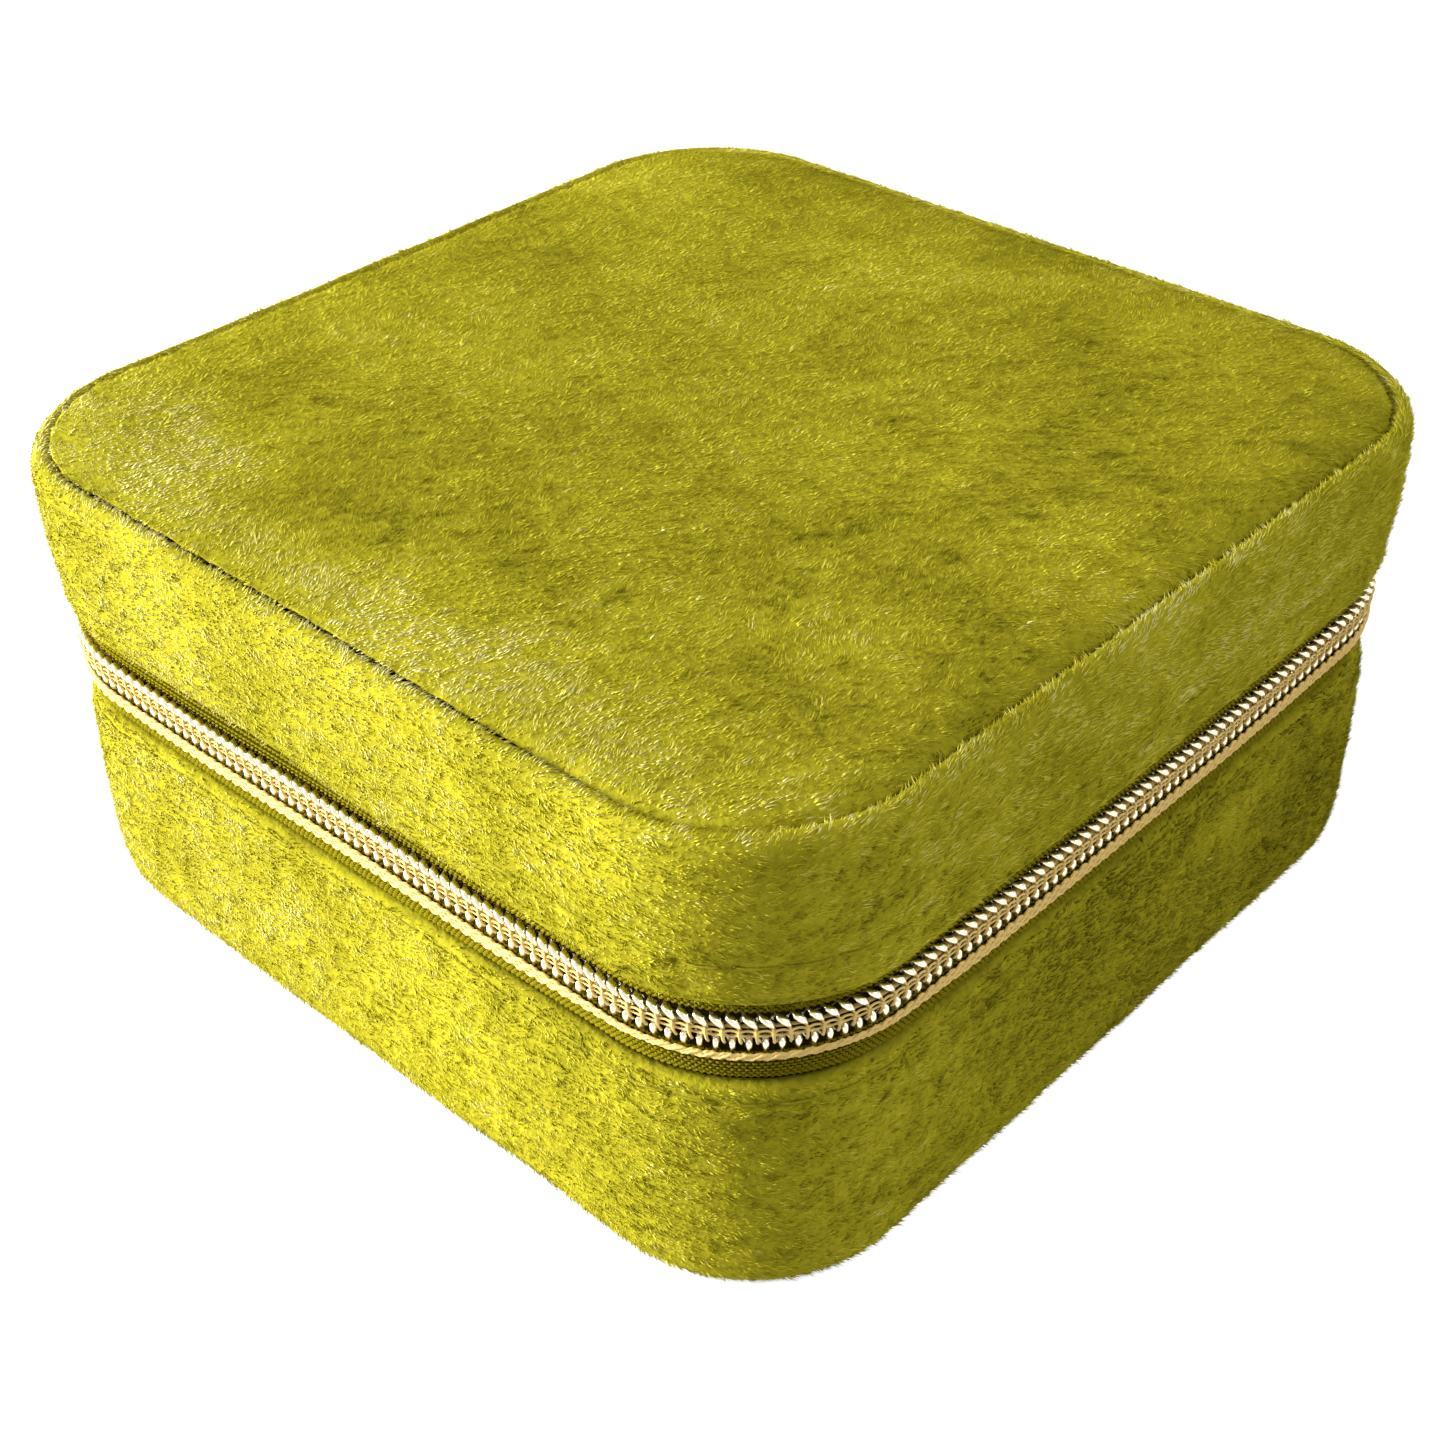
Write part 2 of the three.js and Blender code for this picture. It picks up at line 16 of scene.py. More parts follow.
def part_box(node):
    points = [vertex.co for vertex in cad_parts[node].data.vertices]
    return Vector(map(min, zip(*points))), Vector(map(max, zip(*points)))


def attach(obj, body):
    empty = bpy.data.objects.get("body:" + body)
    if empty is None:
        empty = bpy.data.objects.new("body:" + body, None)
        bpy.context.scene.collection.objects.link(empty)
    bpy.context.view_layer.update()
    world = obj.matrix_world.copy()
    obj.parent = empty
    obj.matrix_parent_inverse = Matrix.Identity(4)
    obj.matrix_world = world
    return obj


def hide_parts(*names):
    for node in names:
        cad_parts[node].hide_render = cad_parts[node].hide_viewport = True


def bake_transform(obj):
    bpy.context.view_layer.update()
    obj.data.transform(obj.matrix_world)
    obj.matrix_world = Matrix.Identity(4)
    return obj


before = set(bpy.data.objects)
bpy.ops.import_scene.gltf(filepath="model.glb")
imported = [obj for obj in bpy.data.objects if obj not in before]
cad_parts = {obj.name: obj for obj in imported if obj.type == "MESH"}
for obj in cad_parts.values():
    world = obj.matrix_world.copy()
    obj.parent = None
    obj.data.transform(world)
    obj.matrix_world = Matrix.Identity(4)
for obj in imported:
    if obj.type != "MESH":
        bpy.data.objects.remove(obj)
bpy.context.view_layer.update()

bl_info = {
    "name": "Travel Jewelry Case",
    "version": (1, 0, 0),
    "blender": (4, 5, 0),
    "location": "3D View > Sidebar > Jewelry Case",
    "description": "Dresses a travel jewelry case in velvet, zip, lining and mirror",
    "category": "Object",
}

MM = 0.001
HALF = 50.0
CORNER = 16.6
STRAIGHT = HALF - CORNER
ARC = math.pi / 2 * CORNER
SIDE = 2 * STRAIGHT + ARC
ROUND = 4 * SIDE
HINGE_HALF = 31.0
ZIP_START = STRAIGHT + ARC + STRAIGHT - 31.55
ZIP_END = ROUND - 31.3
PITCH = 1.3

# The seam's inset, heights of the closing line and of the rows of stitches, and their pitches
SEAM_INSET = 1.1
CLOSING = 30.8
LID_STITCH, BASE_STITCH = 38.9, 24.0
LID_PITCH, BASE_PITCH, SEAM_PITCH = 4.0, 4.2, 3.6

# Radii of strands: coil wire, its sewing threads, cord and core; row stitches and tape weave
WIRE, NET_THREAD, CORD_THREAD, CORE = 0.29, 0.12, 0.135, 0.42
STITCH, WEAVE_THREAD = 0.13, 0.135
WEAVE_PITCH = 0.58

# Where the link hangs on the slider's bridge, in x and y
PULL_X, PULL_Y = -53.5, 26.8

# Pile: lean of the tufts and its spread in degrees, share of bright flecks, and the side of a
# tuft's patch on the bake map
PILE_LEAN, PILE_SPREAD, FLECKS = 24, 9, 0.00015
BAKE_PATCH = 2.4 / 512

# Points nearer to each other than this are merged
MERGE = 0.004

# Ways round the case between which the slider runs, and the corner that faces the camera
SLIDER_WAY = (56, 128)
NEAR_CORNER = (48, -48)

# The camera's place in metres, its yaw, pitch and roll in degrees, and its lens
CAMERA_PLACE = (0.125613, -0.133375, 0.149126)
CAMERA_TURN = (133.53108794, -36.45082574, -1.14588284)
CAMERA_LENS = 54.52

# Lamps: name, place in metres, size and power
LAMPS = (
    ("key", (-0.5, -0.55, 0.2), 0.35, 19.5),
    ("top", (-0.2, 0.1, 0.9), 0.7, 2.2),
    ("right", (0.7, 0.2, 0.6), 0.5, 3.9),
)


# The outline

def way(s):
    """Points on the outline and their outward directions at distances s round it."""
    s = np.mod(np.asarray(s, float), ROUND)
    quarter = np.floor(s / SIDE)
    t = s - quarter * SIDE
    a = np.clip((t - STRAIGHT) / CORNER, 0, math.pi / 2)
    x = -np.minimum(t, STRAIGHT) - CORNER * np.sin(a)
    y = STRAIGHT + CORNER * np.cos(a) - np.maximum(t - STRAIGHT - ARC, 0)
    nx, ny = -np.sin(a), np.cos(a)
    c, d = np.cos(quarter * math.pi / 2), np.sin(quarter * math.pi / 2)
    return (np.stack([c * x - d * y, d * x + c * y], -1),
            np.stack([c * nx - d * ny, d * nx + c * ny], -1))


def place_on_way(x, y):
    """The distance round the outline and the inset of points (x, y)."""
    x, y = np.asarray(x, float), np.asarray(y, float)
    quarter = np.where(y > 0, np.where(x <= 0, 0, 3), np.where(x < 0, 1, 2))
    c, d = np.cos(-quarter * math.pi / 2), np.sin(-quarter * math.pi / 2)
    u, v = -(c * x - d * y), d * x + c * y
    a = np.arctan2(u - STRAIGHT, v - STRAIGHT)
    corner = (u > STRAIGHT) & (v > STRAIGHT)
    first = v >= u
    t = np.where(corner, STRAIGHT + CORNER * a,
                 np.where(first, u, STRAIGHT + ARC + STRAIGHT - v))
    inset = np.where(corner, CORNER - np.hypot(u - STRAIGHT, v - STRAIGHT),
                     np.where(first, HALF - v, HALF - u))
    return quarter * SIDE + t, inset


def spot(s, inset, z):
    """Points at way s, inset and height z."""
    at, out = way(s)
    inset = np.broadcast_to(inset, at.shape[:-1])
    z = np.broadcast_to(z, at.shape[:-1])
    return np.concatenate([at - out * inset[..., None], z[..., None]], -1)


def ways_of(points):
    """Ways and insets of points, and the outward directions there."""
    s, inset = place_on_way(points[:, 0], points[:, 1])
    return s, inset, way(s)[1]


def hump(x, width):
    """1 where x is 0, falling to 0 over about that width on both sides."""
    return np.exp(-(x / width) ** 2)


def unit(vectors):
    """The vectors at a length of 1."""
    return vectors / np.linalg.norm(vectors, axis=1, keepdims=True)


def swell(s, z, seed, height, first=3, last=26, lean=0.16):
    """Smooth wander of a padded surface round the outline, of about that height."""
    rng = np.random.default_rng(seed)
    total = np.zeros(np.broadcast(s, z).shape)
    for turn in range(first, last):
        phase, slope = rng.uniform(0, 2 * math.pi), rng.normal(0, lean)
        total += np.sin(2 * math.pi * turn * s / ROUND + slope * z + phase) / turn ** 0.5
    return total * height / math.sqrt(last - first) * 1.6


# Rise and fall round the case, none along the slider's way: way, base's edge, chain, lid's edge
SAG = np.array([
    (131, 0, 0, 0), (139, -0.4, -0.35, -0.1), (150, -1.0, -0.95, -0.25), (160, -1.25, -1.1, -0.2),
    (168, -1.25, -1.15, 0.15), (176, -1.2, -0.85, 0.4), (184, -1.15, -0.65, 0.35),
    (192, -1.1, -0.5, 0.3), (200, -1.0, -0.5, 0.2), (210, -0.5, -0.35, 0.1),
    (220, -0.05, -0.03, 0.1), (232, -0.35, -0.15, 0), (242, -0.4, -0.15, -0.2),
    (252, -0.9, -0.55, -0.3), (262, -1.05, -0.85, -0.4), (275, -1.25, -0.98, -0.5),
    (288, -1.35, -1.08, -0.55), (300, -1.35, -0.85, -0.6), (312, -0.8, -0.35, -0.3),
    (325, 0, 0, 0),
])


def sag(s, part):
    """One column of SAG at ways s, with its corners smoothed."""
    s = np.mod(s, ROUND)
    return sum(np.interp(s + step, SAG[:, 0], SAG[:, part]) for step in (-5, -2.5, 0, 2.5, 5)) / 5


def waver(s):
    """The zip chain's small rise and fall round the case."""
    return sag(s, 2)


def settle(s, z):
    """Height z after the zip and the edges beside it have taken their rise and fall."""
    return (z + sag(s, 1) * np.interp(z, (21.5, 26.0, 28.2), (0, 1, 0))
            + sag(s, 2) * np.interp(z, (26.0, 28.2, 33.1, 33.8), (0, 1, 1, 0))
            + sag(s, 3) * np.interp(z, (33.1, 33.8, 34.8, 39.5), (0, 1, 1, 0)))


# Meshes

def linked(name, data):
    """A new object that is in the scene."""
    made = bpy.data.objects.new(name, data)
    bpy.context.scene.collection.objects.link(made)
    return made


def own_mesh(name, mesh, body, finish, replaces=()):
    """Links a finished mesh as a piece that rides on a body."""
    mesh.name = name
    piece = linked(name, mesh)
    mesh.polygons.foreach_set("use_smooth", [True] * len(mesh.polygons))
    mesh.materials.clear()
    mesh.materials.append(finish)
    if body:
        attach(piece, body)
    if replaces:
        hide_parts(*replaces)
    return piece


def mesh_of(bm):
    """The mesh of a bmesh in millimetres, merged, facing outwards and turned into metres."""
    bmesh.ops.remove_doubles(bm, verts=bm.verts, dist=MERGE)
    bmesh.ops.recalc_face_normals(bm, faces=bm.faces)
    bmesh.ops.scale(bm, vec=(MM, MM, MM), verts=bm.verts)
    mesh = bpy.data.meshes.new("mesh")
    bm.to_mesh(mesh)
    bm.free()
    return mesh


def at_vertices(mesh, key):
    """One vector for each vertex of a mesh: its place, co, or its normal."""
    values = np.empty(len(mesh.vertices) * 3, np.float32)
    mesh.vertices.foreach_get(key, values)
    return values.reshape(-1, 3).astype(float)


def points_of(mesh):
    """A mesh's points in millimetres."""
    return at_vertices(mesh, "co") / MM


def singles(values):
    """Values as one run of single floats, as meshes take them."""
    return values.astype(np.float32).ravel()


def move_points(mesh, points):
    """Puts a mesh's points at places in millimetres."""
    mesh.vertices.foreach_set("co", singles(points * MM))
    mesh.update()


def oblong_way(half_x, half_y, corner):
    """The length of a rounded oblong, and what way() is for the case's own outline."""
    turn = np.radians(np.arange(0, 360, 3.0)) + math.pi / 2
    step = np.radians(1.5)
    out = np.stack([np.cos(turn + step), np.sin(turn + step)], -1)
    centre = np.stack([np.where(out[:, 0] > 0, half_x - corner, corner - half_x),
                       np.where(out[:, 1] > 0, half_y - corner, corner - half_y)], -1)
    at = centre + out * corner
    at, out = np.vstack([at, at[:1]]), np.vstack([out, out[:1]])
    run = np.concatenate([[0], np.cumsum(np.hypot(*np.diff(at, axis=0).T))])

    def along(s):
        s = np.mod(s, run[-1])
        return tuple(np.stack([np.interp(s, run, line[:, k]) for k in (0, 1)], -1)
                     for line in (at, out))
    return run[-1], along


def sweep(profile, start=0.0, end=ROUND, step=0.9, path=None):
    """A flat grid bent into a band: its rows follow a closed profile of (inset, height) pairs."""
    line = np.array(profile + profile[:1], float)
    columns, rows = max(2, round((end - start) / step)), len(line) - 1
    bm = bmesh.new()
    bmesh.ops.create_grid(bm, x_segments=columns, y_segments=rows, size=1)
    co = np.array([v.co for v in bm.verts])
    row = np.rint((co[:, 1] + 1) / 2 * rows).astype(int)
    s = start + (co[:, 0] + 1) / 2 * (end - start)
    if path:
        at, out = path(s)
        points = np.column_stack([at - out * line[row, :1], line[row, 1]])
    else:
        points = spot(s, line[row, 0], line[row, 1])
    for vert, point in zip(bm.verts, points):
        vert.co = point
    bmesh.ops.remove_doubles(bm, verts=bm.verts, dist=MERGE)
    if not path and end - start < ROUND - 1e-6:
        bmesh.ops.holes_fill(bm, edges=[e for e in bm.edges if e.is_boundary], sides=0)
    return bm


def finer(profile, step):
    """The profile with points added so that none of its edges is longer than step."""
    fine = []
    for (a, b), (c, d) in zip(profile, profile[1:] + profile[:1]):
        parts = max(1, math.ceil(math.hypot(c - a, d - b) / step))
        fine += [(a + (c - a) * k / parts, b + (d - b) * k / parts) for k in range(parts)]
    return fine


def rounded(points, step):
    """A smooth open line through the points, with points about a step apart."""
    points = np.array(points, float)
    padded = np.vstack([2 * points[0] - points[1], points, 2 * points[-1] - points[-2]])
    line = []
    for a, b, c, d in zip(padded, padded[1:], padded[2:], padded[3:]):
        parts = max(1, math.ceil(np.linalg.norm(c - b) / step))
        for k in range(parts):
            t = k / parts
            line.append(0.5 * (2 * b + (c - a) * t + (2 * a - 5 * b + 4 * c - d) * t * t
                               + (3 * b - a - 3 * c + d) * t ** 3))
    line.append(points[-1])
    return np.array(line)


def pairs(points, step):
    """The rounded line through the points as a list of pairs."""
    return [tuple(p) for p in rounded(points, step)]


def closed_profile(outer, inner, fine, coarse):
    """A smooth line through outer, with steps of fine, and plain edges back through inner."""
    line = pairs(outer, fine)
    back = finer([line[-1], *inner, line[0]], coarse)[1:-1]
    return line + [p for p in back if p not in line]


def tubes(name, lines, radius, body, finish, sides=1, cyclic=False, radii=None):
    """Round strands along lines of points, as one piece."""
    curve = bpy.data.curves.new(name, "CURVE")
    curve.dimensions = "3D"
    curve.bevel_depth = radius * MM
    curve.bevel_resolution = sides
    curve.use_fill_caps = True
    for index, line in enumerate(lines):
        spline = curve.splines.new("POLY")
        spline.points.add(len(line) - 1)
        co = np.ones((len(line), 4))
        co[:, :3] = np.asarray(line) * MM
        spline.points.foreach_set("co", co.ravel())
        if radii is not None:
            spline.points.foreach_set("radius", np.asarray(radii[index], float))
        spline.use_cyclic_u = cyclic
    return curve_piece(name, curve, body, finish)


def curve_piece(name, curve, body, finish):
    """Turns a curve into a mesh piece whose faces point outwards."""
    holder = linked("holder", curve)
    bpy.context.view_layer.update()
    evaluated = holder.evaluated_get(bpy.context.evaluated_depsgraph_get())
    mesh = bpy.data.meshes.new_from_object(evaluated)
    bpy.data.objects.remove(holder)
    bpy.data.curves.remove(curve)
    bm = bmesh.new()
    bm.from_mesh(mesh)
    bmesh.ops.remove_doubles(bm, verts=bm.verts, dist=1e-7)
    bmesh.ops.recalc_face_normals(bm, faces=bm.faces)
    bm.to_mesh(mesh)
    bm.free()
    return own_mesh(name, mesh, body, finish)


def flat_piece(name, outlines, thickness, edge, place, body, finish, replaces):
    """A plate with rounded edges, drawn flat by its outline and its holes, then put in place."""
    curve = bpy.data.curves.new(name, "CURVE")
    curve.dimensions, curve.fill_mode = "2D", "BOTH"
    curve.extrude, curve.bevel_depth = (thickness / 2 - edge) * MM, edge * MM
    curve.bevel_resolution, curve.offset = 2, -edge * MM
    for outline in outlines:
        spline = curve.splines.new("POLY")
        spline.points.add(len(outline) - 1)
        for point, (u, v) in zip(spline.points, outline):
            point.co = (u * MM, v * MM, 0, 1)
        spline.use_cyclic_u = True
    piece = curve_piece(name, curve, None, finish)
    move_points(piece.data, place(points_of(piece.data)))
    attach(piece, body)
    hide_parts(*replaces)


def arc(x, y, radius, start, end, parts):
    """Points of an arc, by its middle, its radius and its ends in degrees."""
    turn = np.radians(np.linspace(start, end, parts + 1))
    return list(zip(x + radius * np.cos(turn), y + radius * np.sin(turn)))


def bar(section, low, high, edge, step=0.9, across=False):
    """A bar along Y, or along X where across is set: a section of (x, z) points, ends rounded."""
    line = np.array(section + section[:1], float)
    stations = [low + edge * (1 - math.cos(k * math.pi / 8)) for k in range(4)]
    stations += list(np.linspace(low + edge, high - edge, max(2, round((high - low) / step))))
    stations += [high + low - y for y in stations[3::-1]]
    stations = np.array(stations)
    depth = np.clip(np.minimum(stations - low, high - stations) / edge, 0, 1)
    shrink = edge * (1 - np.sqrt(1 - (1 - depth) ** 2))
    middle = line[:-1].mean(0)
    half = np.abs(line[:-1] - middle).max(0)
    bm = bmesh.new()
    bmesh.ops.create_grid(bm, x_segments=len(line) - 1, y_segments=len(stations) - 1, size=1)
    co = np.array([v.co for v in bm.verts])
    k = np.rint((co[:, 0] + 1) / 2 * (len(line) - 1)).astype(int)
    j = np.rint((co[:, 1] + 1) / 2 * (len(stations) - 1)).astype(int)
    ends = middle + (line[k] - middle) * (1 - shrink[j, None] / half)
    order = (stations[j], ends[:, 0]) if across else (ends[:, 0], stations[j])
    for vert, x, y, z in zip(bm.verts, *order, ends[:, 1]):
        vert.co = (x, y, z)
    bmesh.ops.remove_doubles(bm, verts=bm.verts, dist=MERGE)
    bmesh.ops.holes_fill(bm, edges=[e for e in bm.edges if e.is_boundary], sides=0)
    return bm


def round_edges(bm, verts, edge):
    """Rounds every edge at these vertices."""
    edges = {e for v in verts for e in v.link_edges}
    bmesh.ops.bevel(bm, geom=list(edges), offset=edge, segments=3, profile=0.5,
                    affect="EDGES", material=-1)


def block(bm, low, high, edge):
    """Adds a box with rounded edges to a bmesh."""
    made = bmesh.ops.create_cube(bm, size=1)["verts"]
    size = [b - a for a, b in zip(low, high)]
    bmesh.ops.scale(bm, vec=size, verts=made)
    bmesh.ops.translate(bm, vec=[(a + b) / 2 for a, b in zip(low, high)], verts=made)
    round_edges(bm, made, edge)


def plate(bm, outline, low, high, edge):
    """Adds a plate across X to a bmesh: an outline of (y, z) points between two values of x."""
    face = bm.faces.new([bm.verts.new((low, y, z)) for y, z in outline])
    grown = bmesh.ops.extrude_face_region(bm, geom=[face])["geom"]
    verts = [v for v in grown if isinstance(v, bmesh.types.BMVert)]
    bmesh.ops.translate(bm, vec=(high - low, 0, 0), verts=verts)
    bm.faces.ensure_lookup_table()
    round_edges(bm, [*verts, *face.verts], edge)


def pad(flat, skin, rim, name, body, finish, nodes):
    """Gives a panel's skin a side and a plain back, so that it's one closed pad."""
    move_points(flat, skin)
    bm = bmesh.new()
    bm.from_mesh(flat)
    bmesh.ops.scale(bm, vec=(1 / MM,) * 3, verts=bm.verts)
    border = [e for e in bm.edges if e.is_boundary]
    grown = bmesh.ops.extrude_edge_only(bm, edges=border)["geom"]
    verts = [v for v in grown if isinstance(v, bmesh.types.BMVert)]
    s, _ = place_on_way([v.co.x for v in verts], [v.co.y for v in verts])
    for v, p in zip(verts, spot(s, rim[0], rim[1])):
        v.co = p
    bmesh.ops.contextual_create(
        bm, geom=[e for e in grown if isinstance(e, bmesh.types.BMEdge)])
    return own_mesh(name, mesh_of(bm), body, finish, nodes)


def flat_grid(cells, size=1, name="flat"):
    """A flat grid from -size to size."""
    bm = bmesh.new()
    bmesh.ops.create_grid(bm, x_segments=cells, y_segments=cells, size=size)
    mesh = bpy.data.meshes.new(name)
    bm.to_mesh(mesh)
    bm.free()
    return mesh


# Finishes

class Nodes:
    """A short way to write a material's node tree."""

    def __init__(self, name):
        self.material = bpy.data.materials.new(name)
        self.material.use_nodes = True
        self.tree = self.material.node_tree
        self.tree.nodes.clear()
        self.shader = self.add("ShaderNodeBsdfPrincipled")
        output = self.add("ShaderNodeOutputMaterial")
        self.link(self.shader.outputs["BSDF"], output.inputs["Surface"])
        self.place = self.add("ShaderNodeTexCoord").outputs["Object"]

    def add(self, kind, **settings):
        node = self.tree.nodes.new(kind)
        for key, value in settings.items():
            setattr(node, key, value)
        return node

    def link(self, source, target):
        self.tree.links.new(source, target)

    def set(self, **values):
        for key, value in values.items():
            self.shader.inputs[key.replace("_", " ")].default_value = value

    def noise(self, scale, detail, stretch=None):
        """Noise on the object's place, stretched along an axis where stretch is below 1."""
        node = self.add("ShaderNodeTexNoise")
        node.inputs["Scale"].default_value = scale
        node.inputs["Detail"].default_value = detail
        node.inputs["Roughness"].default_value = 0.55
        vector = self.place
        if stretch:
            mapping = self.add("ShaderNodeMapping")
            mapping.inputs["Scale"].default_value = stretch
            self.link(vector, mapping.inputs["Vector"])
            vector = mapping.outputs["Vector"]
        self.link(vector, node.inputs["Vector"])
        return node.outputs["Fac"]

    def math(self, operation, a, b, clamp=False):
        node = self.add("ShaderNodeMath", operation=operation, use_clamp=clamp)
        for value, socket in ((a, node.inputs[0]), (b, node.inputs[1])):
            if isinstance(value, (int, float)):
                socket.default_value = value
            else:
                self.link(value, socket)
        return node.outputs[0]

    def attribute(self, name):
        return self.add("ShaderNodeAttribute", attribute_name=name).outputs["Fac"]

    def ramp(self, value, *stops):
        """A colour for each value, from stops of a position and a colour."""
        node = self.add("ShaderNodeValToRGB")
        elements = node.color_ramp.elements
        while len(elements) < len(stops):
            elements.new(0.5)
        for element, (position, colour) in zip(elements, stops):
            element.position = position
            element.color = (*colour, 1)
        self.link(value, node.inputs["Fac"])
        return node.outputs["Color"]

    def spread(self, value, low, high, to_low=0.0, to_high=1.0):
        """The value taken from one range to another, and held at its ends."""
        node = self.add("ShaderNodeMapRange")
        for name, number in zip(("From Min", "From Max", "To Min", "To Max"),
                                (low, high, to_low, to_high)):
            node.inputs[name].default_value = number
        self.link(value, node.inputs["Value"])
        return node.outputs["Result"]

    def mix(self, factor, a, b):
        """Colour a where the factor is 0 and colour b where it is 1."""
        node = self.add("ShaderNodeMix", data_type="RGBA")
        self.link(factor, node.inputs[0])
        for colour, socket in ((a, node.inputs[6]), (b, node.inputs[7])):
            socket.default_value = (*colour, 1)
        return node.outputs[2]

    def bump(self, height, strength, distance):
        """Bump from a height, over a distance in millimetres."""
        node = self.add("ShaderNodeBump")
        node.inputs["Strength"].default_value = strength
        node.inputs["Distance"].default_value = distance * MM
        self.link(height, node.inputs["Height"])
        self.link(node.outputs["Normal"], self.shader.inputs["Normal"])

    def colour(self, socket):
        self.link(socket, self.shader.inputs["Base Color"])

    def roughness(self, socket):
        self.link(socket, self.shader.inputs["Roughness"])


def shade(colour, factor):
    """The colour made darker or lighter by a factor."""
    return tuple(min(1.0, c * factor) for c in colour[:3])


def velvet_finish(name, colour, tufted):
    """Velvet: broad patches where the nap turns, with a tone for each tuft of the pile."""
    n = Nodes(name)
    patches = n.spread(n.noise(55, 4.0), 0.34, 0.66)
    clouds = n.spread(n.noise(200, 3.0), 0.3, 0.7)
    tone = n.math("ADD", n.math("MULTIPLY", patches, 0.17), n.math("MULTIPLY", clouds, 0.12))
    if tufted:
        tone = n.math("ADD", tone, n.math("MULTIPLY", n.attribute("tone"), 0.55), True)
        # Painted sheen: tones above about 0.6 fade to a pale, bluish colour, standing in for the
        # white-ish sheen of brightly lit velvet
        pale = tuple(a * 1.42 + b for a, b in zip(colour, (0.04, 0.06, 0.28)))
        fair = tuple(a * 1.25 + b for a, b in zip(colour, (0, 0.01, 0.04)))
        base = n.ramp(tone, (0.0, shade(colour, 0.12)), (0.22, shade(colour, 0.5)),
                      (0.46, shade(colour, 1.0)), (0.6, fair), (0.74, pale), (0.94, pale),
                      (1.0, (0.93, 0.92, 0.62)))
    else:
        # Painted shade: the ground under the tufts is darker than the pile, for the shade deep
        # between tufts
        grain = n.noise(1500, 3.0)
        tone = n.math("ADD", tone, n.math("MULTIPLY", grain, 0.5), True)
        base = n.ramp(tone, (0.2, shade(colour, 0.4)), (0.5, shade(colour, 0.75)),
                      (0.8, shade(colour, 1.05)))
        n.bump(grain, 0.6, 0.3)
    n.colour(base)
    n.set(Roughness=0.8, Sheen_Weight=0.04, Sheen_Roughness=0.5,
          Sheen_Tint=(*shade(colour, 1.8), 1), Specular_IOR_Level=0.0)
    return n.material


def finishes(case):
    """Every finish of the case, made once and then found by its name."""
    made = bpy.data.materials
    if "velvet_pile" in made:
        return made
    velvet_finish("velvet_pile", case.velvet_colour, True)
    velvet_finish("velvet_ground_shaded", case.velvet_colour, False)

    n = Nodes("gold_coil")
    n.colour(n.mix(n.noise(900, 2.0), shade(case.coil_colour, 0.82), shade(case.coil_colour, 1.1)))
    n.roughness(n.spread(n.noise(1500, 2.0), 0.3, 0.7, 0.14, 0.3))
    n.set(Metallic=1.0)

    for name, colour, low, high, scale, depth, rough, gloss in (
            ("tan_thread", case.thread_colour, 0.75, 1.2, 5200, 0.5, 0.6, 0.1),
            ("olive_thread", case.velvet_colour, 0.35, 0.8, 5200, 0.5, 0.7, 0.05),
            # Painted shade: the tape's ground is far darker than its threads, for the shade in the
            # gaps of the weave
            ("tape_ground_shaded", case.tape_colour, 0.1, 0.25, 6000, 0.4, 0.75, 0.0),
            ("tape_thread", case.tape_colour, 0.7, 1.35, 6000, 0.4, 0.75, 0.0)):
        n = Nodes(name)
        fibre = n.noise(scale, 2.0)
        n.colour(n.mix(fibre, shade(colour, low), shade(colour, high)))
        n.bump(fibre, depth, 0.05)
        n.set(Roughness=rough, Specular_IOR_Level=gloss)

    n = Nodes("gold_plate")
    n.colour(n.mix(n.noise(260, 3.0), shade(case.metal_colour, 0.9),
                   shade(case.metal_colour, 1.08)))
    scratches = n.noise(2400, 3.0, (1, 0.15, 1))
    n.roughness(n.spread(scratches, 0.35, 0.7, 0.1, 0.24))
    n.bump(scratches, 0.08, 0.02)
    n.set(Metallic=1.0)

    n = Nodes("lining_velvet")
    nap, clouds = n.noise(2600, 3.0), n.spread(n.noise(60, 4.0), 0.35, 0.65)
    tone = n.math("ADD", n.math("MULTIPLY", nap, 0.55), n.math("MULTIPLY", clouds, 0.4))
    n.colour(n.ramp(tone, (0.15, shade(case.lining_colour, 0.45)),
                    (0.5, shade(case.lining_colour, 0.9)), (0.9, shade(case.lining_colour, 1.4))))
    n.bump(nap, 0.7, 0.25)
    n.set(Roughness=0.85, Sheen_Weight=0.3, Sheen_Roughness=0.4,
          Sheen_Tint=(*shade(case.lining_colour, 1.8), 1), Specular_IOR_Level=0.2)

    n = Nodes("grey_board")
    fibre = n.noise(1400, 4.0, (1, 1, 3))
    n.colour(n.mix(fibre, (0.28, 0.24, 0.17), (0.52, 0.46, 0.35)))
    n.bump(fibre, 0.4, 0.1)
    n.set(Roughness=0.9)

    n = Nodes("mirror_glass")
    n.colour(n.mix(n.noise(20, 2.0), (0.9, 0.91, 0.92), (0.95, 0.955, 0.96)))
    n.roughness(n.spread(n.noise(90, 3.0), 0.4, 0.8, 0.01, 0.035))
    n.set(Metallic=1.0)
    return made


# The velvet walls

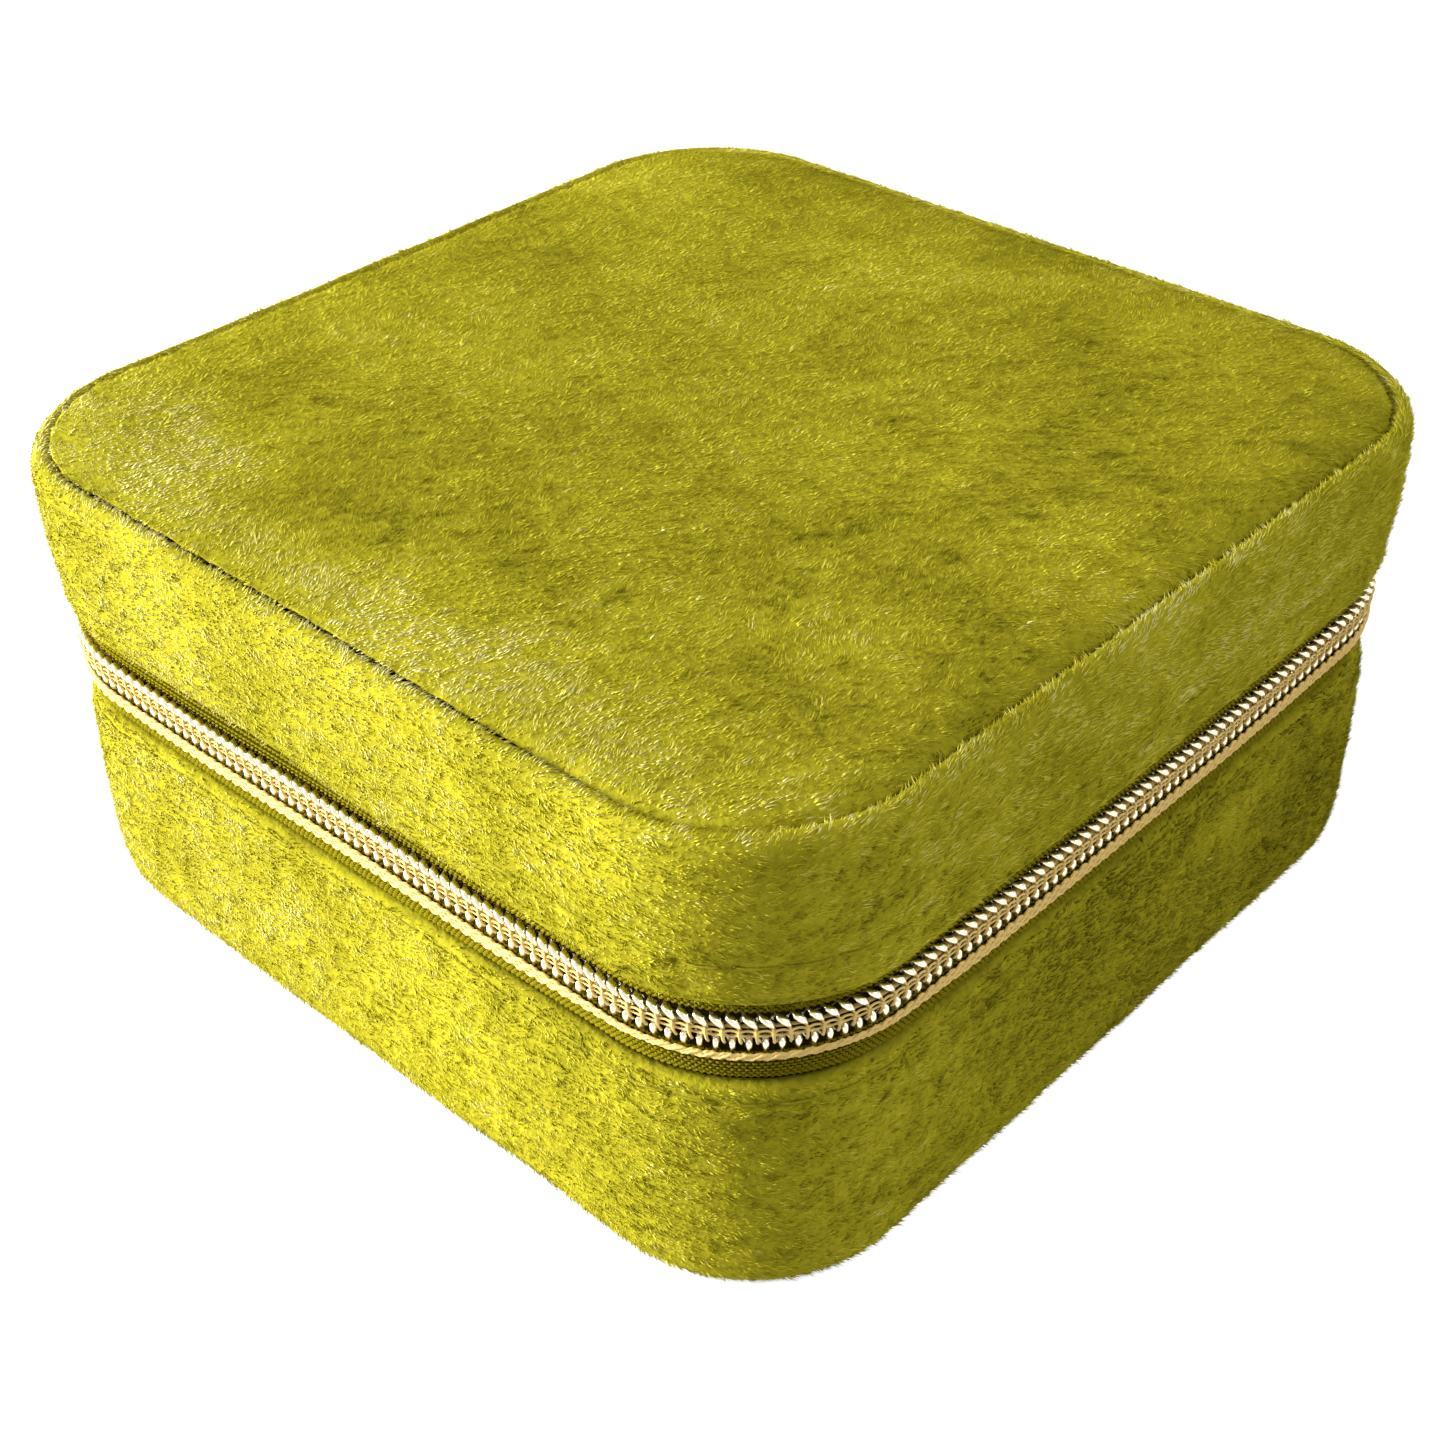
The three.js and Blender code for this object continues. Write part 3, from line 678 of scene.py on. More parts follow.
LID_OUTER = [
    (2.3, 34.8), (1.9, 34.1), (1.3, 33.85), (0.7, 33.9), (0.2, 34.25), (-0.1, 35.0),
    (-0.3, 36.4), (-0.5, 38.0), (-0.6, 39.0), (-0.75, 40.4), (-0.9, 43.0), (-0.9, 46.5),
    (-0.85, 48.8), (-0.65, 49.9), (-0.2, 50.55), (0.25, 50.78), (0.7, 50.68), (1.0, 50.3),
    (1.15, 49.8), (1.5, 49.3),
]
LID_INNER = [(3.85, 48.9), (3.85, 35.0)]
BASE_OUTER = [
    (4.3, 0.0), (3.2, 0.15), (2.0, 0.75), (1.1, 1.7), (0.4, 2.95), (0.0, 4.4), (-0.2, 6.5),
    (-0.3, 10.0), (-0.3, 15.0), (-0.2, 19.0), (-0.05, 22.5), (0.05, 24.0), (0.35, 24.9),
    (0.9, 25.4), (1.5, 25.35), (2.1, 24.9), (2.3, 24.2),
]
BASE_INNER = [(3.85, 20.0), (3.85, 4.4), (4.3, 2.2)]


def lit_side(s):
    """1 along the front, where the nap lies over the seam, falling to 0 past its corners."""
    return np.exp(-((s - 165) / 52) ** 4)


def stitch_line(s, lid):
    """Height of the row of stitches beside the zip."""
    low = swell(s, 0.0, 31 if lid else 32, 0.22, 1, 8)
    return (LID_STITCH if lid else BASE_STITCH) + low - (0.35 if lid else 0.0)


def stitch_phase(s, pitch):
    """1 in the middle of each hole of a row of stitches, falling to 0 beside it."""
    return hump(np.mod(s, pitch) - pitch / 2, 0.55)


def wall_relief(s, z, lid):
    """How far the velvet stands out from its plain profile."""
    if lid:
        relief = swell(s, z, 11, 0.16) + swell(s, z, 12, 0.05, 30, 90, 0.5)
        row = hump(z - stitch_line(s, True), 0.45)
        relief -= row * (0.2 + 0.34 * stitch_phase(s, LID_PITCH))
        hem = hump(z - 36.2, 1.3)
        relief += hem * (0.12 + 0.1 * np.sin(2 * math.pi * s / LID_PITCH))
        edge = np.clip((z - 49.5) / 1.5, 0, 1)
        relief += edge * swell(s, 0.0, 14, 0.12, 20, 110)
    else:
        relief = swell(s, z, 21, 0.22) + swell(s, z, 22, 0.06, 30, 90, 0.5)
        row = hump(z - stitch_line(s, False), 0.4)
        relief -= row * (0.18 + 0.26 * stitch_phase(s, BASE_PITCH))
        pucker = hump(z - 22.0, 2.0)
        relief += pucker * swell(s, z, 24, 0.12, 60, 120, 0.6)
        relief *= np.clip(z / 3.0, 0, 1)
    return relief


def skin_share(inset):
    """1 on a wall's outer skin, falling to 0 where it turns in behind the edge."""
    return np.clip((2.2 - inset) / 1.2, 0, 1)


def dress_wall(mesh, lid):
    """Moves a swept wall's outer skin by its relief."""
    points = points_of(mesh)
    s, inset, out = ways_of(points)
    points[:, :2] += out * (wall_relief(s, points[:, 2], lid) * skin_share(inset))[:, None]
    points[:, 2] = settle(s, points[:, 2])
    move_points(mesh, points)


def wall_points(outer, s, share, lid):
    """Points of a wall's dressed skin, at way s and at a share of its profile's length."""
    line = np.array(outer, float)
    run = np.concatenate([[0], np.cumsum(np.hypot(*np.diff(line, axis=0).T))])
    v = share * run[-1]
    inset, z = np.interp(v, run, line[:, 0]), np.interp(v, run, line[:, 1])
    return spot(s, inset - wall_relief(s, z, lid) * skin_share(inset), settle(s, z))


# The top panel

def top_height(inset, s):
    """Height of the lid's top panel at an inset from the outline."""
    run = np.clip(inset - SEAM_INSET, 0, None)
    crown = np.interp(run, [0, 2.3, 6.4, 12.5, 24.6, 48.9], [0, 0.5, 1.0, 1.3, 1.48, 1.5])
    full = lit_side(s)
    lip = full + (0.95 - full) * (1 - np.exp(-run / 0.4))
    lip -= 0.22 * stitch_phase(s, SEAM_PITCH) * np.exp(-run / 0.7)
    pucker = swell(s, 0.0, 14, 0.1, 30, 110) * np.exp(-run / 1.6)
    return 49.95 + lip + crown + pucker


def top_relief(x, y):
    """Slow hills on the padded top."""
    rng = np.random.default_rng(41)
    total = np.zeros(np.shape(x))
    for _ in range(14):
        angle, size, phase = rng.uniform(0, 6.3), rng.uniform(14, 50), rng.uniform(0, 6.3)
        total += np.sin((x * math.cos(angle) + y * math.sin(angle)) * 2 * math.pi / size + phase)
    return total * 0.03


def top_point(x, y):
    """Points of the top panel at (x, y)."""
    s, inset = place_on_way(x, y)
    z = top_height(inset, s) + top_relief(x, y) * np.clip((inset - SEAM_INSET) / 6, 0, 1)
    return np.stack([x, y, z], -1)


def squared_disc(mesh, inset):
    """Maps a flat grid from -1 to 1 onto the outline at an inset, closer rows at the edge."""
    points = points_of(mesh)
    u, v = points[:, 0] * MM, points[:, 1] * MM
    ring = np.maximum(np.abs(u), np.abs(v))
    safe = np.maximum(ring, 1e-9)
    a, b = u / safe, v / safe
    # way round the edge of the square, from the back's middle
    turn = np.where(b >= 0.999999, np.where(a <= 0, -a, 8 - a),
                    np.where(a <= -0.999999, 2 - b, np.where(b <= -0.999999, 4 + a, 6 + b)))
    s = turn / 8 * ROUND
    at, out = way(s)
    edge = at - out * inset
    ring = 1 - (1 - ring) ** 1.3
    return edge * ring[:, None], ring


def ruffle(points, seed, size):
    """Random rise and fall in space, about -1 to 1, with hills of about that size."""
    waves = 28
    rng = np.random.default_rng(seed)
    turn = rng.normal(size=(waves, 3))
    turn *= 2 * math.pi / (size * rng.uniform(0.6, 1.7, (waves, 1))
                           * np.linalg.norm(turn, axis=1, keepdims=True))
    phase = rng.uniform(0, 2 * math.pi, waves)
    total = np.zeros(len(points))
    for k in range(waves):
        total += np.sin(points @ turn[k] + phase[k])
    return total * math.sqrt(2 / waves)


# Places where the velvet looks darker or lighter: middle, reach, change. Most are patches where
# the nap lies another way; some are painted light and shade, as marked
NAP_AND_PAINTED_LIGHT_WALL = [
    # Painted light on the front face, which faces the key lamp: the first two. Painted shadow under
    # the zip on the right: the one at (288, 24)
    ((163, 44), (50, 13), 0.62), ((158, 14), (44, 16), 0.5), ((194, 12), (8, 6), -0.34),
    ((205, 4), (9, 3), -0.3), ((231, 13), (9, 11), -0.26), ((280, 11), (26, 10), -0.75),
    ((288, 24), (34, 2.5), -0.5), ((250, 14), (10, 12), -0.12), ((288, 40), (30, 7), 0.12),
    ((266, 20), (6, 4), -0.3), ((281, 14), (5, 7), -0.4), ((272, 9), (5, 4), 0.2),
    ((291, 18), (7, 5), 0.3), ((312, 14), (8, 8), -0.4), ((252, 9), (6, 5), -0.15),
    ((231, 42), (9, 10), -0.38), ((262, 46), (12, 4), 0.26), ((292, 43), (14, 6), 0.22),
    ((60, 14), (9, 6), -0.35), ((30, 20), (8, 5), 0.2), ((344, 12), (8, 6), -0.3),
    ((90, 40), (12, 5), 0.2), ((15, 42), (10, 5), 0.2), ((330, 44), (7, 4), -0.25),
]
NAP_AND_PAINTED_LIGHT_TOP = [
    # Painted light where the key lamp falls on the top's front and left: those at (-38, -40) and
    # (0, -46.5)
    ((-9, -37), (8, 4), -0.36), ((-26, -30), (8, 5), -0.2), ((-38, 9), (9, 4), -0.28),
    ((-38, -40), (15, 8), 0.6), ((-20, 8), (15, 8), 0.12), ((34, 14), (17, 14), -0.24),
    ((28, 38), (15, 8), -0.18), ((0, -46.5), (44, 5), 0.5), ((30, -43), (14, 6), 0.2),
    ((42, -20), (5, 12), -0.15), ((28, -2), (9, 9), -0.12),
]


def nap_and_painted_light(places, u, v):
    """How much lighter or darker the velvet looks at (u, v): nap patches, painted light and shade.
    """
    total = np.zeros(len(u))
    bend = ruffle(np.column_stack([u, v, 0 * u]), 93, 9) * 1.6
    for (a, b), (reach_u, reach_v), amount in places:
        total += amount * np.exp(-((u + bend - a) / reach_u) ** 2
                                 - ((v + 0.5 * bend - b) / reach_v) ** 2)
    return total


def own_pile(name, roots, normals, naps, bake, grain, shift, rng, case, body, size=1.0):
    """Tufts of pile: slim closed spikes that lie along the nap, each with its own tone.

    Bake holds places on the bake map, grain those along and across the nap, and shift makes
    tufts lighter or darker, partly as painted light and shade. Each tuft's tone also holds painted
    shade at its root and in the hollows between clumps.
    """
    count = len(roots)
    angle = rng.normal(PILE_LEAN, PILE_SPREAD, count) + 3 * ruffle(roots, 67, 1.5)
    angle = np.radians(np.clip(angle, 6, 85))[:, None]
    naps = unit(naps - normals * (naps * normals).sum(1, keepdims=True))
    along = naps * np.cos(angle) + normals * np.sin(angle)
    side = unit(np.cross(normals, along))
    roots = roots + normals * (0.03 * np.clip(ruffle(roots, 66, 1.8), -1.3, 1.3))[:, None]
    length = (case.pile_length * size * rng.uniform(0.65, 1.25, count))[:, None]
    width = (case.pile_width * rng.uniform(0.7, 1.25, count))[:, None]
    lifted = np.cross(along, side)
    lifted *= np.sign((lifted * normals).sum(1, keepdims=True))
    start = roots - normals * 0.12
    co = np.stack([start - side * width / 2, start + side * width / 2,
                   start + lifted * width * 0.3 + along * length * 0.35,
                   start + along * length], 1)
    faces = np.array([(0, 1, 3), (1, 2, 3), (2, 0, 3), (0, 2, 1)])
    a, b, c, d = co[0]
    if np.dot(np.cross(b - a, d - a), c - a) > 0:
        faces = faces[:, ::-1]
    index = (faces[None] + 4 * np.arange(count)[:, None, None]).reshape(-1)
    mesh = bpy.data.meshes.new(name)
    mesh.vertices.add(count * 4)
    mesh.vertices.foreach_set("co", singles(co * MM))
    mesh.loops.add(len(index))
    mesh.loops.foreach_set("vertex_index", index.astype(np.int32))
    mesh.polygons.add(count * 4)
    mesh.polygons.foreach_set("loop_start", np.arange(0, len(index), 3, dtype=np.int32))
    mesh.update(calc_edges=True)
    wander = ruffle(roots, 61, 2.2)
    strand = np.column_stack([grain[:, 0] * 0.34, grain[:, 1] + 0.35 * wander, 0.3 * wander])
    clump = 0.6 * ruffle(strand, 62, 0.55) + 0.5 * ruffle(strand, 63, 1.3)
    # Painted shade in the hollows between clumps: pits and cracks
    pit_shade = np.clip(ruffle(roots, 64, 3.2) - 0.9, 0, 1)
    crack_shade = np.clip(ruffle(strand, 65, 0.9) - 0.7, 0, 1)
    apart = np.hypot(roots[:, 0] - NEAR_CORNER[0], roots[:, 1] - NEAR_CORNER[1])
    clear = 1 + 0.6 * hump(apart, 60) - 0.35 * np.clip((apart - 70) / 40, 0, 1)
    clear *= 1 - 0.9 * np.clip(shift, 0, 0.6)
    tone = 0.56 + shift + clear * (0.15 * clump - 0.28 * pit_shade - 0.2 * crack_shade
                                   + rng.normal(0, 0.03, count))
    tone = np.clip(tone, 0, 1)
    tone[rng.random(count) < FLECKS] = 1.7
    # Painted shade at each tuft's root, and a painted lighter tip
    tones_shaded_at_roots = tone[:, None] + np.array([-0.1, -0.1, 0.0, 0.03])
    mesh.attributes.new("tone", "FLOAT", "POINT").data.foreach_set("value", singles(tones_shaded_at_roots))
    low, high = bake.min(0), bake.max(0)
    bake = (bake - low) / (high - low)
    side = BAKE_PATCH
    corner = np.array([(0, 0), (side, 0), (0, side), (side, side)])
    uv = (bake[:, None, :] * (1 - 2 * side) + side / 2 + corner[None]).reshape(-1, 2)[index]
    mesh.uv_layers.new(name="OFBake").data.foreach_set("uv", singles(uv))
    mesh.validate()
    return own_mesh(name, mesh, body, bpy.data.materials["velvet_pile"])


def facing(points, s_step, v_step):
    """Outward directions from three grids of points of a surface."""
    return unit(np.cross(s_step - points, v_step - points))


# Sizes and colours

class CaseFinish(bpy.types.PropertyGroup):
    velvet_colour: FloatVectorProperty(
        name="Velvet", description="Colour of the velvet's pile", subtype="COLOR", size=3,
        default=(0.52, 0.465, 0.024))
    lining_colour: FloatVectorProperty(
        name="Lining", description="Colour of the lining inside", subtype="COLOR", size=3,
        default=(0.42, 0.40, 0.075))
    thread_colour: FloatVectorProperty(
        name="Thread", description="Colour of the zip's sewing thread", subtype="COLOR", size=3,
        default=(0.8, 0.575, 0.19))
    coil_colour: FloatVectorProperty(
        name="Coil", description="Colour of the zip's coil", subtype="COLOR", size=3,
        default=(0.9, 0.84, 0.62))
    metal_colour: FloatVectorProperty(
        name="Plating", description="Colour of the slider and pull", subtype="COLOR", size=3,
        default=(0.83, 0.66, 0.32))
    tape_colour: FloatVectorProperty(
        name="Tape", description="Colour of the zip's woven tape", subtype="COLOR", size=3,
        default=(0.2, 0.165, 0.006))
    pile_length: FloatProperty(
        name="Pile length", description="Length of the velvet's tufts in millimetres",
        default=0.95, min=0.2, max=3)
    pile_width: FloatProperty(
        name="Pile width", description="Width of the velvet's tufts in millimetres",
        default=0.145, min=0.05, max=0.5)
    pile_density: FloatProperty(
        name="Pile density", description="Tufts on a square millimetre", default=11.2, min=0.5,
        max=16)
    seed: IntProperty(name="Seed", description="Start of the random draws", default=7)


class CASE_OT_walls(bpy.types.Operator):
    """Velvet walls of base and lid, with their wadding"""
    bl_idname = "case.walls"
    bl_label = "Velvet Walls"

    def execute(self, context):
        ground = finishes(context.scene.jewelry_case)["velvet_ground_shaded"]
        for name, outer, inner, lid, nodes in (
                ("lid_wall", LID_OUTER, LID_INNER, True, ("lid_side_cover", "lid_side_pad")),
                ("base_wall", BASE_OUTER, BASE_INNER, False, ("base_side_cover", "base_side_pad"))):
            mesh = mesh_of(sweep(closed_profile(outer, inner, 0.55, 3.0)))
            dress_wall(mesh, lid)
            own_mesh(name, mesh, "lid" if lid else "base", ground, nodes)
        return {"FINISHED"}


class CASE_OT_panels(bpy.types.Operator):
    """Padded top panel and the panel underneath"""
    bl_idname = "case.panels"
    bl_label = "Velvet Panels"

    def execute(self, context):
        ground = finishes(context.scene.jewelry_case)["velvet_ground_shaded"]
        flat = flat_grid(128)
        edge, _ = squared_disc(flat, SEAM_INSET - 0.05)
        pad(flat, top_point(edge[:, 0], edge[:, 1]), (4.0, 47.0), "lid_top", "lid",
            ground, ("lid_top_cover", "lid_top_pad"))
        flat = flat_grid(60)
        edge, ring = squared_disc(flat, 4.35)
        inset = (1 - ring) * 45
        low = np.column_stack([edge, 0.02 + 0.5 * np.exp(-inset / 0.5)])
        pad(flat, low, (4.5, 2.0), "base_underside", "base", ground,
            ("base_bottom_cover",))
        return {"FINISHED"}


class CASE_OT_hinge(bpy.types.Operator):
    """Velvet strip at the back that joins lid and base"""
    bl_idname = "case.hinge"
    bl_label = "Hinge Strip"

    def execute(self, context):
        case = context.scene.jewelry_case
        made = finishes(case)
        outer = [(1.5, 24.7), (1.05, 26.0), (0.7, 28.0), (0.5, 30.8), (0.6, 32.8), (0.9, 34.2),
                 (1.4, 35.3)]
        skin = closed_profile(outer, [(2.6, 35.0), (2.6, 24.9)], 0.4, 0.5)
        mesh = mesh_of(sweep(skin, -HINGE_HALF, HINGE_HALF, 1.0))
        strip = own_mesh("hinge_strip", mesh, None, made["velvet_ground_shaded"],
                         ("hinge_strip_base", "hinge_strip_lid"))
        rng = np.random.default_rng(case.seed + 1)
        count = int(2 * HINGE_HALF * 8.2 * case.pile_density)
        s, z = rng.uniform(-30.6, 30.6, count), rng.uniform(26.0, 33.9, count)
        level = rounded(outer, 0.4)
        points = spot(s, np.interp(z, level[:, 1], level[:, 0]), z)
        normals = np.column_stack([way(s)[1], np.zeros(count)])
        turn = rng.normal(math.pi, 0.3, count) + 0.35 * ruffle(points, 52, 1.6)
        naps = np.column_stack([np.cos(turn), np.zeros(count), np.sin(turn)])
        pile = own_pile("pile_hinge", points, normals, naps, np.column_stack([s, z]),
                        np.column_stack([s, z]), 0 * s, rng, case, None)
        for piece in (strip, pile):
            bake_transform(piece)
        return {"FINISHED"}


class CASE_OT_stitches(bpy.types.Operator):
    """Rows of stitches beside the zip"""
    bl_idname = "case.stitches"
    bl_label = "Stitches"

    def execute(self, context):
        thread = finishes(context.scene.jewelry_case)["olive_thread"]
        for name, outer, lid, pitch in (
                ("stitches_lid", LID_OUTER, True, LID_PITCH),
                ("stitches_base", BASE_OUTER, False, BASE_PITCH)):
            profile = np.array(outer)
            lines = []
            for start in np.arange(pitch / 2, ROUND - pitch / 2, pitch):
                s = start + np.linspace(0.1, pitch - 0.1, 9)
                z = stitch_line(s, lid)
                inset = np.interp(z, profile[3:16, 1], profile[3:16, 0])
                rise = 0.1 * np.sin(np.linspace(0, math.pi, 9)) ** 0.5
                lines.append(spot(s, inset - wall_relief(s, z, lid) - rise, settle(s, z)))
            tubes(name, lines, STITCH, "lid" if lid else "base", thread)
        return {"FINISHED"}


class CASE_OT_pile(bpy.types.Operator):
    """Pile of the velvet on walls and top"""
    bl_idname = "case.pile"
    bl_label = "Velvet Pile"

    def execute(self, context):
        case = context.scene.jewelry_case
        finishes(case)
        rng = np.random.default_rng(case.seed)
        for quarter, corner in enumerate(("back_left", "front_left", "front_right",
                                          "back_right")):
            self.wall(f"pile_lid_{corner}", quarter, LID_OUTER, True, rng, case)
            self.wall(f"pile_base_{corner}", quarter, BASE_OUTER, False, rng, case)
            self.top(f"pile_top_{corner}", quarter, rng, case)
        return {"FINISHED"}

    def wall(self, name, quarter, outer, lid, rng, case):
        run = np.hypot(*np.diff(np.array(outer), axis=0).T).sum()
        count = int(SIDE * run * case.pile_density)
        s = quarter * SIDE + rng.uniform(0, SIDE, count)
        share = rng.uniform(0.03, 0.97, count)
        points = wall_points(outer, s, share, lid)
        inset, z, line = ways_of(points)[1], points[:, 2], stitch_line(s, lid)
        if lid:
            beside = (s > SLIDER_WAY[0]) & (s < SLIDER_WAY[1])
            edge = np.where(beside, 34.6, 34.05)
            keep = (z > 45) | ((inset < 0.5) & (z > edge))
        else:
            keep = (z > 0.35) & ((z < 20) | (inset < 0.7))
        keep &= np.abs(z - line) > 0.14
        s, share, points, z, line = s[keep], share[keep], points[keep], z[keep], line[keep]
        ahead = wall_points(outer, s + 0.3, share, lid)
        above = wall_points(outer, s, share + 0.01, lid)
        normals = facing(points, ahead, above)
        along, up = unit(ahead - points), unit(above - points)
        lean = math.radians(24)
        turn = lean + swell(s, z, 51, 0.34, 4, 40, 0.3)
        turn += 0.3 * ruffle(points, 52, 2.6) + rng.normal(0, 0.15, len(s))
        if lid:
            turn += 0.5 * hump(z - 34.2, 1.0)
            turn += (0.25 + 0.75 * lit_side(s)) * hump(z - 50.8, 0.5)
        else:
            turn -= 0.9 * hump(z - 25.4, 1.5) + 1.2 * hump(z, 2.5)
        naps = along * np.cos(turn)[:, None] + up * np.sin(turn)[:, None]
        grain = np.column_stack([s * math.cos(lean) + z * math.sin(lean),
                                 z * math.cos(lean) - s * math.sin(lean)])
        holes = stitch_phase(s, LID_PITCH if lid else BASE_PITCH)
        # Nap patches with painted light and shade, then painted shade along the row of stitches,
        # darkest in the stitch holes
        shift = nap_and_painted_light(NAP_AND_PAINTED_LIGHT_WALL, s, z)
        shift -= hump(z - line, 0.42) * (0.2 + 0.6 * holes)
        if lid:
            # Painted highlight along the lid's rolled top edge
            shift += 0.24 * hump(z - 50.5, 0.9)
        else:
            # Painted shade along the foot of the base, beside the floor
            shift -= 0.6 * hump(z, 1.7)
        own_pile(name, points, normals, naps, np.column_stack([s, share]), grain, shift, rng,
                 case, "lid" if lid else "base")

    def top(self, name, quarter, rng, case):
        half = HALF - SEAM_INSET + 0.3
        count = int(half * half * case.pile_density)
        x, y = rng.uniform(0, half, (2, count))
        x, y = ((-x, y), (-x, -y), (x, -y), (x, y))[quarter]
        s, inset = place_on_way(x, y)
        keep = inset > SEAM_INSET + 0.1 - 0.4 * lit_side(s)
        x, y = x[keep], y[keep]
        points, ahead, above = top_point(x, y), top_point(x + 0.3, y), top_point(x, y + 0.3)
        normals = facing(points, ahead, above)
        lean = math.radians(52)
        turn = lean + 0.4 * ruffle(points, 53, 26) + 0.2 * ruffle(points, 54, 7)
        turn += 0.3 * ruffle(points, 55, 2.6) + rng.normal(0, 0.15, len(x))
        naps = np.column_stack([np.cos(turn), np.sin(turn), np.zeros(len(x))])
        grain = np.column_stack([x * math.cos(lean) + y * math.sin(lean),
                                 y * math.cos(lean) - x * math.sin(lean)])
        s, inset = place_on_way(x, y)
        # Nap patches with painted light and shade, then painted shade along the seam, darkest in
        # its stitch holes
        seam = hump(inset - SEAM_INSET, 0.45)
        shift = nap_and_painted_light(NAP_AND_PAINTED_LIGHT_TOP, x, y) - seam * (0.05 + 0.4 * stitch_phase(s, SEAM_PITCH))
        own_pile(name, points, normals, naps, np.column_stack([x, y]), grain, shift, rng, case,
                 "lid", size=0.9)


class CASE_OT_chain(bpy.types.Operator):
    """Zip chain: two gold coils, their sewing threads, core and cord"""
    bl_idname = "case.chain"
    bl_label = "Zip Chain"

    # One turn of each coil: way along, inset, height and thickness against the wire's
    LID_TURN = [
        (0.0, 0.42, 33.0, 0.4), (0.14, 0.2, 32.97, 0.66), (0.4, 0.12, 32.84, 1.0),
        (0.68, 0.1, 32.62, 1.08), (0.92, 0.14, 32.34, 0.95), (1.08, 0.25, 31.95, 0.75),
        (1.13, 0.5, 31.5, 0.62), (1.12, 1.05, 31.32, 0.6), (1.15, 1.5, 31.6, 0.6),
        (1.2, 1.45, 31.9, 0.6), (1.26, 1.0, 32.2, 0.55), (1.29, 0.6, 32.6, 0.45),
    ]
    BASE_TURN = [
        (0.45, 0.9, 29.1, 0.9), (0.45, 0.6, 29.35, 1.05), (0.45, 0.42, 29.8, 1.1),
        (0.45, 0.28, 30.25, 1.1), (0.45, 0.3, 30.58, 1.05), (0.5, 0.75, 30.78, 0.85),
        (0.75, 1.3, 30.4, 0.65), (0.98, 1.5, 29.95, 0.65), (1.25, 1.4, 29.5, 0.65),
        (1.55, 0.95, 29.2, 0.65),
    ]

    def execute(self, context):
        made = finishes(context.scene.jewelry_case)
        for name, body, turn, node in (("zip_coil_lid", "lid", self.LID_TURN, "zip_chain_lid"),
                                       ("zip_coil_base", "base", self.BASE_TURN,
                                        "zip_chain_base")):
            turn = np.array(turn)
            starts = self.starts()
            line = (turn[None] + np.column_stack([starts, *np.zeros((3, len(starts)))])[:, None])
            line = line.reshape(-1, 4)
            s = line[:, 0]
            coil = tubes(name, [spot(s, line[:, 1], line[:, 2] + waver(s))], WIRE, body,
                         made["gold_coil"], radii=[line[:, 3]])
            self.deepen(coil.data)
            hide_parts(node)
        self.net(made["tan_thread"])
        return {"FINISHED"}

    def deepen(self, mesh):
        """Presses the round wire into ribbons that run deeper than they are wide."""
        points = points_of(mesh)
        s, inset = place_on_way(points[:, 0], points[:, 1])
        at, out = way(s)
        deep = np.interp(inset, (-1, 0.15, 0.5, 1.7, 2.4), (-1, 0.15, 1.0, 1.9, 2.4))
        points[:, :2] = at - out * deep[:, None]
        move_points(mesh, points)

    def starts(self):
        """Ways where the turns of the coils start."""
        return ZIP_START + 0.5 + PITCH * np.arange(int((ZIP_END - ZIP_START - 2.2) / PITCH))

    def net(self, tan):
        """Lock stitches: two rows with knots and bars on the lid's coil, a wavy pair below."""
        starts = self.starts()
        s = np.arange(ZIP_START + 0.6, ZIP_END - 0.8, PITCH / 8)
        phase = math.pi * (s - starts[0] - 1.04) / PITCH
        apart, knot = np.abs(np.sin(phase)), np.abs(np.cos(phase)) ** 10
        rows, widths = [], []
        for side in (-1, 1):
            rows.append(spot(s, -0.06 + 0.08 * apart,
                             31.65 + side * (0.07 + 0.2 * apart ** 0.6) + waver(s)))
            widths.append(0.9 + 0.5 * knot)
        for start in starts:
            k = np.linspace(0, 1, 7)
            along = start + 1.02 + 0.13 * k
            rows.append(spot(along, -0.12 + 0.45 * k ** 3, 31.95 - 1.62 * k + waver(along)))
            widths.append(1.15 + 0.45 * hump(k - 0.18, 0.16))
            k = np.linspace(0, 1, 5)
            along = start + 1.1 - 0.42 * k ** 1.3
            rows.append(spot(along, -0.16 + 0.1 * k, 31.85 + 0.78 * k + waver(along)))
            widths.append(0.8 - 0.25 * k)
        tubes("zip_net_lid", rows, NET_THREAD, "lid", tan, 0, radii=widths)
        strands, widths = [], []
        loose = np.clip((np.abs(s - 231) - 6) / 16, 0, 1)
        for lag, second in ((0, 0), (math.pi, 0), (1.2, 1), (1.2 + math.pi, 1)):
            strands.append(spot(s, 0.02 + 0.1 * second - 0.08 * np.cos(phase + lag),
                                29.13 - 0.62 * loose * second
                                + (0.2 + 0.06 * loose) * np.sin(phase + lag)
                                + 0.04 * np.sin(5.3 * phase + lag) + waver(s)))
            widths.append((1 + 0.16 * np.sin(6.2 * phase + lag)) * (1 + 0.3 * loose))
        tubes("zip_cord_base", strands, CORD_THREAD, "base", tan, radii=widths)
        s = s[::4]
        core = spot(s, 0.78 + 0 * s, 31.7 + waver(s))
        tubes("zip_core_lid", [core], CORE, "lid", tan,
              radii=[0.35 + 0.65 * loose[::4]])


